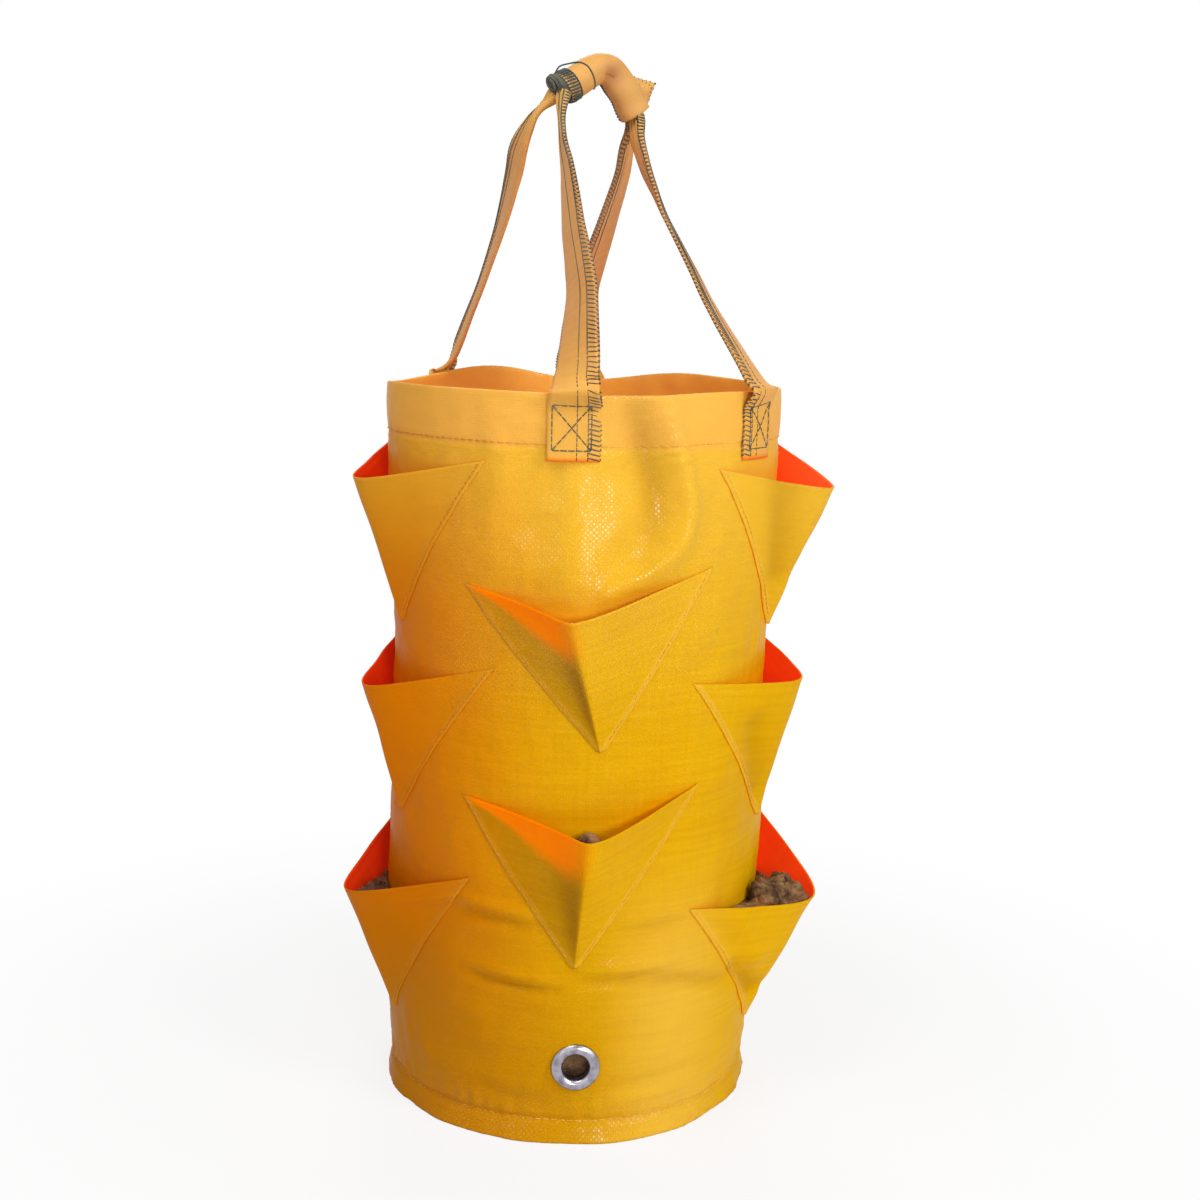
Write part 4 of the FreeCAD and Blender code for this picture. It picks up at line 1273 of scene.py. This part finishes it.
def box_rows(path, stations):
    """Stitches along the lines of the box and cross, placed on the tab by their height."""
    height = path[0][stations.astype(int), 2]
    rows = []
    for a, b in BOX_LINES:
        way = BOX[b] - BOX[a]
        count = max(3, round(math.hypot(way[0] * STRAP_WIDTH / 2, way[1]) / BOX_PITCH))
        middle = np.arange(count)[:, None] + 0.5
        ends = [BOX[a] + way * ((middle + d) / count) for d in (-BOX_HALF, BOX_HALF)]
        (first, out), (last, _) = (on_strap(path, np.interp(end[:, 1], height, stations), end[:, 0], BOX_LIFT)
                                   for end in ends)
        rows.append((first, last, out, BOX_THREAD))
    return rows


for handle, path in HANDLE_PATHS.items():
    run = length_along(path[0])
    index = np.arange(len(run), dtype=float)
    stations = np.interp(np.arange(STRAP_MARGIN, run[-1] - STRAP_MARGIN, OVERLOCK_PITCH), run, index)
    loose = (path[5] < LOOSE_GATHER).astype(float)
    stations = stations[np.interp(stations, index, loose) > 0.99]
    step = float(np.mean(np.diff(np.interp(np.arange(0, 100, 1.0), run, index))))
    first_leg = (handle == "front_handle") * (stations < len(run) / 2)
    high_up = smooth_step(np.interp(stations, index, path[0][:, 2]), 400, 460)
    reach = OVERLOCK_REACH + OVERLOCK_NARROWING * first_leg * high_up
    edge = np.full_like(stations, OVERLOCK_EDGE)
    rows = [strap_row(path, stations, edge, reach, face * OVERLOCK_SLANT * step, OVERLOCK_THREAD,
                      face * OVERLOCK_LIFT) for face in (1, -1)]
    top, _ = on_strap(path, stations, edge, EDGE_TURN)
    under, _ = on_strap(path, stations, edge, -EDGE_TURN)
    rows.append((top, under, top - on_strap(path, stations, np.zeros_like(stations))[0], EDGE_THREAD))
    for x, (length, radius) in ((reach, CHAIN_STITCH), (np.full_like(stations, MIDDLE_ROW), MIDDLE_STITCH)):
        rows += [strap_row(path, stations, x, x, length * step, radius, lift)
                 for lift in (ROW_LIFT, -ROW_LIFT)]
    from_end = np.arange(float(TAB_STATIONS))
    rows += box_rows(path, from_end) + box_rows(path, len(run) - 1 - from_end)
    stitching = sew(handle + "_stitches", rows, DARK_THREAD)
    with_handle(stitching)
    if handle == "front_handle":
        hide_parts("tab_stitching")

# %% [markdown]
# ## The hand wrap
# A short sleeve of the same cloth is rolled round both straps at the top. Its ends are overlocked
# with dark thread, and at the left end the thread is drawn into a tight bunch. The sleeve is a
# ring carried along the grip's arc, open towards the rear, with a flared corner at its right end.

# %% Wrap
WRAP_OPEN = 58.0
WRAP_RADIUS, WRAP_HALF = 7.1, 0.35
WRAP_LENGTH = 58.0
WRAP_RIPPLE, TOP_CREASE, FRONT_CREASE, BEND_DENT = 0.25, 1.0, 0.5, 2.2
WRAP_SHADE, BEND_SHADE, FRONT_SHADE = 0.2, 0.55, 0.2
CORNER_TURN, CORNER_REACH = 112.0, 12.5


def wrap_point(share, turn, lift=0.0):
    """Point on the sleeve: share along the grip, turn in degrees from the rear over the top to the front.

    A crease along the top and one along the front make the tube a little three-sided, it is drawn in
    under the bend, and its rear edge stands off as a corner near the right end.
    """
    share, turn = np.broadcast_arrays(np.asarray(share, float), np.asarray(turn, float))
    spot, _, upright = grip_place(share)
    angle = np.radians(turn)[..., None]
    arm = upright * np.sin(angle) - FORWARD * np.cos(angle)
    radius = WRAP_RADIUS + WRAP_RIPPLE * np.sin(share * 23 + np.radians(turn))
    radius = radius + TOP_CREASE * bell(turn, 135, 24) * smooth_step(share, 0.35, 0.65)
    radius = radius + FRONT_CREASE * bell(turn, 240, 30)
    radius = radius - BEND_DENT * bell(share, 0.5, 0.11) * bell(turn, 222, 42)
    edge = np.radians(CORNER_TURN)
    corner = np.minimum(np.clip((share - 0.66) / 0.22, 0, 1), np.clip((1.08 - share) / 0.2, 0, 1))
    corner = CORNER_REACH * corner * (1 - smooth_step(turn, WRAP_OPEN, CORNER_TURN))
    corner_way = upright * math.sin(edge) - FORWARD * math.cos(edge)
    return spot + arm * (radius + lift)[..., None] + corner_way * corner[..., None], arm


share, turn = np.meshgrid(np.linspace(0, 1, 64), np.linspace(WRAP_OPEN, 360 - WRAP_OPEN, 56), indexing="ij")
outer, _ = wrap_point(share, turn, WRAP_HALF)
inner, _ = wrap_point(share, turn, -WRAP_HALF)
cloth = np.stack([np.radians(turn) * WRAP_RADIUS, share * WRAP_LENGTH], -1)
shade = BEND_SHADE * bell(share, 0.53, 0.13) * bell(turn, 195, 48)
shade = WRAP_SHADE + shade + FRONT_SHADE * bell(turn, 240, 40) * smooth_step(share, 0.4, 0.7)
wrap = sheet_piece("hand_wrap_cloth", outer, inner, cloth, [STRAP_CLOTH, STRAP_CLOTH],
                   {"glow": 0.0, "shade": shade})
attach(wrap, "front_handle")
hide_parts("hand_wrap")

# %% Overlock of the wrap
RING_REACH, RING_LIFT, RING_PITCH = 0.105, 0.6, 12.0
EDGE_REACH, EDGE_LIFT = 24.0, 0.5

# Round the left end: threads, the edge itself and the chain where the threads end
turns = np.arange(WRAP_OPEN + 2, 360 - WRAP_OPEN - 2, RING_PITCH)
first, arm = wrap_point(0.0, turns, RING_LIFT)
last, _ = wrap_point(RING_REACH, turns + 8, RING_LIFT)
under, _ = wrap_point(0.0, turns, -RING_LIFT)
chain, chain_arm = wrap_point(RING_REACH, turns + 1, RING_LIFT)
chain_end, _ = wrap_point(RING_REACH, turns + 14, RING_LIFT)
rows = [(first, last, arm, 0.55), (first, under, first - last, 0.5), (chain, chain_end, chain_arm, 0.42)]

# Along the right half of both long edges
shares = np.arange(0.52, 0.99, 0.03)
for edge, reach in ((WRAP_OPEN, EDGE_REACH), (360 - WRAP_OPEN, -EDGE_REACH)):
    first, arm = wrap_point(shares, edge, EDGE_LIFT)
    last, _ = wrap_point(shares + 0.012, edge + reach, EDGE_LIFT)
    under, _ = wrap_point(shares, edge, -EDGE_LIFT)
    rows += [(first, last, arm, 0.45), (first, under, first - last, 0.6)]
wrap_stitches = sew("wrap_overlock", rows, DARK_THREAD)
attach(wrap_stitches, "front_handle")

# %% Bunched thread and the loose loop
BUNCH_TURNS, BUNCH_RADIUS = 19, 0.7
LOOP_RADIUS = 0.4


def tube(path, radius, sides=8):
    """A round tube along a path of points, turned from one fixed direction, ends capped."""
    ahead = unit(np.gradient(path, axis=0))
    aside = unit(np.cross(ahead, (0.3, 0.5, 0.81)))
    up = np.cross(ahead, aside)
    turn = np.arange(sides)[:, None] * 2 * math.pi / sides
    radius = np.broadcast_to(radius, len(path))[:, None, None]
    points = path[:, None] + radius * (aside[:, None] * np.cos(turn) + up[:, None] * np.sin(turn))
    i, j = corner_numbers(len(path), sides, wrap_cols=True)
    faces = i * sides + j % sides
    caps = np.stack([np.arange(sides)[::-1], np.arange(sides) + (len(path) - 1) * sides])
    return points.reshape(-1, 3), faces, caps


wind = np.linspace(0, 1, 480)
bunch_share = -0.135 + 0.155 * wind + 0.014 * np.sin(wind * 87) + 0.02 * np.sin(wind * 23)
bunch_lift = -6.4 * (1 - wind) ** 4 - 1.4 + 0.7 * np.sin(wind * 61) + 0.4 * np.sin(wind * 173)
bunch_path, _ = wrap_point(bunch_share, wind * BUNCH_TURNS * 360 % 360, bunch_lift)
points, faces, caps = tube(bunch_path, BUNCH_RADIUS)
binding = make_piece("wrap_bunch", points, [faces, caps], [DARK_THREAD])
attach(binding, "front_handle")
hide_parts("wrap_binding")

slack = np.linspace(0, 1, 90)
loop_share = 0.02 + 0.24 * smooth_step(slack, 0.0, 0.6)
loop_angle = 80 + 170 * smooth_step(slack, 0.25, 1.0)
loop_path, _ = wrap_point(loop_share, loop_angle, 0.5 + 2.0 * bell(slack, 0.24, 0.13))
points, faces, caps = tube(loop_path, LOOP_RADIUS)
loop = make_piece("loose_thread", points, [faces, caps], [DARK_THREAD])
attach(loop, "front_handle")

# %% [markdown]
# ## The eyelet
# A pressed nickel eyelet keeps the drain hole open: a rolled rim outside, a barrel through the
# cloth and a washer inside. A lathe shape is a closed profile turned about the hole's axis.

# %% Nickel
nickel = Finish("nickel", Metallic=1.0, Specular_IOR_Level=0.5)
streak = nickel.noise(nickel.stretch(nickel.place(), (160.0, 900.0, 160.0)), 1.0, 4.0)
haze = nickel.noise(nickel.place(), 240.0, 3.0)
base = nickel.mix(haze.step(0.35, 0.75), paint(176, 173, 184), paint(128, 124, 134))
NICKEL = nickel.shade(Base_Color=base, Roughness=0.17 + streak * 0.22, Normal=nickel.bump(streak, 0.00004))
print(NICKEL.name, len(nickel.tree.nodes), "nodes")

# %% Eyelet
EYELET_COLS, PROFILE_STEPS = 96, 5
# Profiles: radius and height out of the wall
RIM_PROFILE = [(11.6, 0.0), (11.5, 1.2), (10.4, 2.15), (9.0, 2.45), (7.6, 2.1), (6.6, 1.1), (6.3, -0.6),
               (6.3, -2.6), (6.9, -3.2), (7.4, -2.6), (7.1, -0.9), (8.6, -0.35), (10.6, -0.4)]
WASHER_PROFILE = [(11.3, -1.7), (11.4, -2.3), (10.2, -2.9), (8.6, -2.8), (7.6, -2.3), (7.7, -1.7),
                  (9.4, -1.5)]


def turned_ring(name, profile, node):
    """A closed profile of (radius, height out of the wall) turned about the drain hole's axis."""
    closed = np.array(profile + profile[:1])
    line = through(np.concatenate([closed[-2:-1], closed, closed[1:2]]), PROFILE_STEPS)
    line = line[PROFILE_STEPS:-PROFILE_STEPS - 1]
    turn = np.arange(EYELET_COLS) * 2 * math.pi / EYELET_COLS
    face = float(wall_radius(0.0, EYELET_HEIGHT))
    rows, cols = len(line), EYELET_COLS
    x = line[:, :1] * np.sin(turn)
    z = EYELET_HEIGHT + line[:, :1] * np.cos(turn)
    y = -(face + line[:, 1:]) + 0 * turn
    i, j = corner_numbers(rows, cols, True, True)
    faces = (i % rows) * cols + j % cols
    ring = make_piece(name, np.stack([x, y, z], -1), [faces], [NICKEL])
    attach(ring, "bag")
    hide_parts(node)


turned_ring("eyelet_rim", RIM_PROFILE, "eyelet")
turned_ring("eyelet_back_ring", WASHER_PROFILE, "eyelet_washer")

# %% [markdown]
# ## Soil
# Damp brown potting soil fills the lower part of the bag and the lowest pockets. The body is a
# bumpy surface from noise, and crumbs and clods lie on it: small balls with uneven radius.

# %% Soil finish
soil = Finish("potting_soil", Specular_IOR_Level=0.25)
grain = soil.noise(soil.place(), 420.0, 5.0, 0.65)
lump = soil.noise(soil.place(), 95.0, 4.0, 0.6)
base = soil.mix(lump.step(0.36, 0.62), paint(66, 44, 28), paint(164, 124, 82))
base = soil.mix(grain.step(0.62, 0.75) * 0.6, base, paint(186, 148, 104))
base = soil.mix(grain.step(0.42, 0.28) * 0.7, base, paint(58, 38, 30))
side, _, height = soil.split(soil.place())
# Painted shade: darker and redder in the left pocket. Then darker low down
base = soil.mix((0 - side).step(0.085, 0.1) * 0.65, base, paint(86, 40, 28))
base = soil.mix(height.step(0.10, 0.07) * 0.55, base, paint(52, 34, 24))
bumps = soil.bump(grain, 0.0012, 0.9, soil.bump(lump, 0.003))
SOIL = soil.shade(Base_Color=base, Roughness=0.72 + lump * 0.25, Normal=bumps)
print(SOIL.name, len(soil.tree.nodes), "nodes")

# %% Soil helpers
POLE_GAP = 0.12
CRUMB_RISE = 0.35
LARGE_LUMP, SMALL_LUMP, TOP_RELIEF = 1.4, 1.1, 2.2
HEAP_RISE, HEAP_SPREAD = 5, 55


def lumps(points, seed, shortest, longest, count=26):
    """A sum of sine waves through space in random directions, from about -1 to 1."""
    draw = np.random.default_rng(seed)
    total = np.zeros(points.shape[:-1])
    for _ in range(count):
        length = math.exp(draw.uniform(math.log(shortest), math.log(longest)))
        way = unit(draw.normal(size=3))
        total += np.sin(points @ way * (2 * math.pi / length) + draw.uniform(0, 2 * math.pi))
    return total / math.sqrt(count / 2)


def clods(name, centres, sizes, seed, uneven=0.16, rows=9, cols=12):
    """Uneven balls: each direction's radius is scaled by lumps, and the poles are closed by rings."""
    draw = np.random.default_rng(seed)
    tilt = np.linspace(POLE_GAP, math.pi - POLE_GAP, rows)[:, None]
    turn = (np.arange(cols) * 2 * math.pi / cols)[None, :]
    ball = np.stack([np.sin(tilt) * np.cos(turn), np.sin(tilt) * np.sin(turn), np.cos(tilt) + 0 * turn], -1)
    squash = draw.uniform(0.7, 1.1, (len(centres), 1, 1, 3))
    seat = draw.uniform(-50, 50, (len(centres), 1, 1, 3))
    skin = ball[None] * 3.0 + seat
    radius = 1 + uneven * (lumps(skin, seed, 1.6, 6.0) + 0.44 * lumps(skin, seed + 1, 0.7, 1.6))
    points = centres[:, None, None, :] + ball[None] * squash * (sizes[:, None, None] * radius)[..., None]
    i, j = corner_numbers(rows, cols, wrap_cols=True)
    faces = i * cols + j % cols
    step = rows * cols
    shift = (np.arange(len(centres)) * step)[:, None, None]
    caps = np.stack([np.arange(cols)[::-1], np.arange(cols) + step - cols])
    groups = [(faces[None] + shift).reshape(-1, 4), (caps[None] + shift).reshape(-1, cols)]
    piece = make_piece(name, points, groups, [SOIL])
    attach(piece, "bag")


def soil_relief(points):
    """Large and small lumps of the soil, in millimetres."""
    return lumps(points, 61, 16, 60) * LARGE_LUMP + lumps(points, 67, 5, 14) * SMALL_LUMP


def heaped(relief, reach):
    """Height of the soil's top over its level: its lumps and a low heap in the middle."""
    return relief * TOP_RELIEF + HEAP_RISE * bell(reach, 0, HEAP_SPREAD)


print("a crumb's middle lies", CRUMB_RISE, "of its size above the soil")

# %% Soil in the bag
SOIL_LEVEL, SOIL_FLOOR = 149.0, 11.6
SOIL_COLS, FLOOR_ROWS, SIDE_ROWS, TOP_ROWS = 150, 14, 50, 46
WALL_GAP = 1.6

share_r = np.concatenate([np.linspace(0.05, 0.97, FLOOR_ROWS), np.ones(SIDE_ROWS),
                          np.linspace(0.975, 0.02, TOP_ROWS)])
line_z = np.concatenate([np.full(FLOOR_ROWS, SOIL_FLOOR), np.linspace(12.0, SOIL_LEVEL - 3, SIDE_ROWS),
                         np.full(TOP_ROWS, SOIL_LEVEL)])
turn = np.arange(SOIL_COLS) * 360 / SOIL_COLS
reach = share_r[:, None] * (wall_radius(turn[None, :], line_z[:, None]) - WALL_GAP)
body = polar(reach, turn[None, :], line_z[:, None] + 0 * turn[None, :])
relief = soil_relief(body)
on_top = smooth_step(line_z, SOIL_LEVEL - 2, SOIL_LEVEL)[:, None]
on_side = ((line_z > 13) & (line_z < SOIL_LEVEL - 1))[:, None]
body[..., 2] += on_top * heaped(relief, reach)
pull = 1 - on_side * (np.abs(relief) * 0.8) / np.maximum(reach, 10)
body[..., :2] *= pull[..., None]
i, j = corner_numbers(len(line_z), SOIL_COLS, wrap_cols=True)
caps = np.stack([np.arange(SOIL_COLS)[::-1], np.arange(SOIL_COLS) + (len(line_z) - 1) * SOIL_COLS])
fill = make_piece("soil_body", body, [i * SOIL_COLS + j % SOIL_COLS, caps], [SOIL])
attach(fill, "bag")
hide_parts("soil_fill")

# %% Crumbs on the soil
CRUMB_COUNT, CRUMB_FIELD = 170, 84
CRUMB_LEAST, CRUMB_MOST = 1.3, 5.5

draw = np.random.default_rng(71)
reach = CRUMB_FIELD * np.sqrt(draw.uniform(0, 1, CRUMB_COUNT))
where = draw.uniform(-180, 180, CRUMB_COUNT)
size = np.exp(draw.uniform(math.log(CRUMB_LEAST), math.log(CRUMB_MOST), CRUMB_COUNT))
spot = polar(reach, where, np.full(CRUMB_COUNT, SOIL_LEVEL))
spot[:, 2] += heaped(soil_relief(spot), reach) + size * CRUMB_RISE
clods("soil_crumbs", spot, size, 73, rows=7, cols=8)

# %% Soil in the lowest pockets
# Level below the tip, how many clods, their least and largest size, their middle, spread and unevenness
POCKET_SOIL = {
    "front": (12.0, 1, (8.6, 8.8), (0.04, 0.7), 0.02, 0.04),
    "left": (5.0, 14, (2.0, 4.0), (0.0, 0.5), 0.42, 0.16),
    "right": (1.5, 12, (5.0, 9.5), (0.0, 0.5), 0.42, 0.16),
    "back": (4.0, 12, (2.0, 5.0), (0.0, 0.5), 0.42, 0.16),
}
HEAP_ROWS, HEAP_COLS, HEAP_WIDTH, HEAP_DEPTH = 22, 54, 0.86, 24
MOUND, MOUND_RELIEF = 1.2, 1.6


def soil_top(shape, level, w, q):
    """Top of a pocket's soil: q from 0 at the flap to 1 at the wall, level across the pocket."""
    (_, z0), (_, z1), (_, zp), (_, _, zt), _ = shape
    corner = np.where(w < 0, z0, z1)
    s = np.clip((level - zp) / ((zt - zp) * (1 - np.abs(w)) + (corner - zp) * np.abs(w)), 0.05, 0.97)
    front = flap_point(shape, s, w)
    azimuth = np.degrees(np.arctan2(front[..., 0], -front[..., 1]))
    outer = np.hypot(front[..., 0], front[..., 1]) - 1.0
    inner = wall_radius(azimuth, level) + 0.5
    outer = np.maximum(outer, inner + 0.2)
    return polar(outer + (inner - outer) * q, azimuth, np.full(w.shape, float(level)))


for column, (drop, count, sizes, middle, spread, uneven) in POCKET_SOIL.items():
    shape = POCKETS[column + "_lower_pocket"]
    level = shape[3][2] - drop
    q, w = np.meshgrid(np.linspace(0, 1, HEAP_ROWS), np.linspace(-HEAP_WIDTH, HEAP_WIDTH, HEAP_COLS),
                       indexing="ij")
    top = soil_top(shape, level, w, q)
    mound = np.sin(np.pi * q) * (1 - w * w)
    top[..., 2] += mound * (MOUND + MOUND_RELIEF * lumps(top, 83, 6, 20))
    bottom = soil_top(shape, level - HEAP_DEPTH, w * 0.9, q)
    points, faces, _, _ = slab(top, bottom, np.stack([w, q], -1))
    heap = make_piece(column + "_heap", points, faces, [SOIL])
    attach(heap, "bag")
    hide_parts(column + "_pocket_soil")
    draw = np.random.default_rng(91 + count)
    place_w = middle[0] + draw.uniform(-spread, spread, count)
    place_q = middle[1] + draw.uniform(-spread, spread, count) * 0.48
    size = np.exp(draw.uniform(math.log(sizes[0]), math.log(sizes[1]), count))
    spot = soil_top(shape, level, place_w, place_q)
    spot[:, 2] += size * CRUMB_RISE
    clods(column + "_clods", spot, size, 97, uneven)

# %% [markdown]
# ## The base
# A round disc closes the bag. Its edge is turned down and sewn to the wall, so from below one sees
# a shallow dish that hangs a little in the middle. It is a profile turned about the bag's axis.

# %% Base
BASE_COLS, BASE_ROWS = 160, 44
BASE_FLAT, BASE_LEVEL, BASE_SAG, BASE_RELIEF = 88, 9.4, 3.0, 0.35
BASE_THICKNESS, EDGE_THICKNESS, EDGE_GAP = 0.5, 0.6, 0.3
# The turned-down edge: radius and height
BASE_EDGE = np.array([(89.6, 9.0), (90.4, 7.8), (90.6, 5.5), (90.7, 3.0), (90.8, 0.8)])

line_r = np.concatenate([np.linspace(2, BASE_FLAT, BASE_ROWS), BASE_EDGE[:, 0]])
line_z = np.concatenate([np.full(BASE_ROWS, BASE_LEVEL), BASE_EDGE[:, 1]])
line_z = line_z - BASE_SAG * bell(line_r, 0, 60) * (line_r <= BASE_FLAT)
turn = np.arange(BASE_COLS) * 360 / BASE_COLS
fit = (wall_radius(turn, BASE_SEAM) - CLOTH - EDGE_GAP) / line_r[-1]
upper = polar(line_r[:, None] * fit, turn[None, :], line_z[:, None] + 0 * turn)
upper[..., 2] += BASE_RELIEF * lumps(upper, 101, 10, 44) * (line_r < BASE_FLAT)[:, None]
lower = upper.copy()
lower[..., 2] -= BASE_THICKNESS * (line_r < BASE_EDGE[2, 0])[:, None]
lower[..., :2] *= (1 - EDGE_THICKNESS * (line_r > BASE_FLAT) / line_r)[:, None, None]
print("base profile:", len(line_r), "points")

# %% Base piece
rows = len(line_r)
number = np.arange(rows * BASE_COLS).reshape(rows, BASE_COLS)
i, j = corner_numbers(rows, BASE_COLS, wrap_cols=True)
front = number[i, j % BASE_COLS]
back = front[:, ::-1] + rows * BASE_COLS
ring, after = number[-1], np.roll(number[-1], -1)
edge = np.stack([ring, after, after + rows * BASE_COLS, ring + rows * BASE_COLS], -1)
caps = np.stack([number[0][::-1], number[0] + rows * BASE_COLS])
points = np.concatenate([upper.reshape(-1, 3), lower.reshape(-1, 3)])
faces = [np.concatenate([front, back, edge]), caps]
slots = np.repeat([1, 0, 0, 1, 0], [len(front), len(back), len(edge), 1, 1])
cloth = [points[group, :2] for group in faces]
disc = make_piece("base_disc", points, faces, [YELLOW_CLOTH, RED_CLOTH], slots, cloth, PLAIN)
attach(disc, "bag")
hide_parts("base_panel")

# %% [markdown]
# ## Light, floor and background
# The photograph has a white ground, and its main light comes softly from the right. A dim white world
# lights the bag evenly, a key lamp and a low one in front give the gloss its direction, two weaker
# lamps stand on the left and one behind. World and floor are plain white to the camera, to mirrors and
# through clear stuff, and the floor keeps a faint shadow round the bag.

# %% World
WORLD_LIGHT = 0.15

world = bpy.data.worlds.new("white_room")
bpy.context.scene.world = world
world.use_nodes = True
sky = Network(world.node_tree)
ground = world.node_tree.nodes["Background"]
ground.inputs["Color"].default_value = (1, 1, 1, 1)
sky.feed(ground.inputs["Strength"],
         sky.node("ShaderNodeMapRange", None, {"Value": sky.seen(), "To Min": WORLD_LIGHT, "To Max": 1.0}))
print("world:", len(sky.tree.nodes), "nodes")

# %% Lamps
LOOK_AT = (0, 0, 0.2)
# Each lamp: azimuth and elevation in degrees, distance, width and height in metres, watts
LAMPS = {
    "key_lamp": (46, 31, 1.5, (0.5, 0.7), 8.2),
    "gloss_lamp": (15, 10, 1.5, (0.34, 0.24), 5.6),
    "left_gloss_lamp": (-38, 14, 1.5, (0.12, 0.12), 1.0),
    "left_lamp": (-35, 60, 0.85, (0.45, 0.45), 2.8),
    "back_lamp": (180, 40, 1.8, (1.2, 0.8), 11),
}


def lamp(name, azimuth, elevation, distance, size, watts):
    """A soft rectangular lamp that looks at the middle of the bag."""
    data = bpy.data.lights.new(name, "AREA")
    data.shape = "RECTANGLE"
    data.size, data.size_y = size
    data.energy = watts
    a, e = math.radians(azimuth), math.radians(elevation)
    back = np.array([math.sin(a) * math.cos(e), -math.cos(a) * math.cos(e), math.sin(e)])
    side_way = np.array([math.cos(a), math.sin(a), 0.0])
    matrix = np.eye(4)
    matrix[:3, :] = np.stack([side_way, np.cross(back, side_way), back, back * distance + LOOK_AT], axis=1)
    made = bpy.data.objects.new(name, data)
    made.matrix_world = Matrix(matrix.tolist())
    bpy.context.scene.collection.objects.link(made)


for name, setting in LAMPS.items():
    lamp(name, *setting)
print("lamps:", ", ".join(LAMPS))

# %% Floor
FLOOR_HALF, FLOOR_LEVEL = 3000.0, -0.3

floor_finish = Finish("white_floor", Base_Color=(0.9, 0.9, 0.9, 1), Roughness=0.9)
away = floor_finish.node("ShaderNodeVectorMath", {"operation": "LENGTH"}, {0: floor_finish.place()},
                         output="Value")
white = floor_finish.node("ShaderNodeEmission", None, {"Color": (1, 1, 1, 1), "Strength": 1.0})
whiteness = floor_finish.seen() * (0.8 + 0.2 * away.step(0.12, 0.5))
diffuse = Wire(floor_finish, floor_finish.shader.outputs[0])
blend = floor_finish.node("ShaderNodeMixShader", None, {0: whiteness, 1: diffuse, 2: white})
floor_finish.feed(floor_finish.tree.nodes["Material Output"].inputs["Surface"], blend)

corners = np.array([(-1, -1), (1, -1), (1, 1), (-1, 1)]) * FLOOR_HALF
floor_points = np.column_stack([corners, np.full(4, FLOOR_LEVEL)])
floor_mesh = bpy.data.meshes.new("floor")
floor_mesh.from_pydata(floor_points * MM, [], [(0, 1, 2, 3)])
floor_mesh.materials.append(floor_finish.material)
floor = bpy.data.objects.new("floor", floor_mesh)
bpy.context.scene.collection.objects.link(floor)
floor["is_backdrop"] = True
print("floor:", len(floor_mesh.polygons), "face")

# %% Sizes and finish
low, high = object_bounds()
sizes = {"cad": [list(cad_low), list(cad_high)], "visual": [list(low), list(high)]}
print("CAD box", sizes["cad"], "visual box", sizes["visual"])
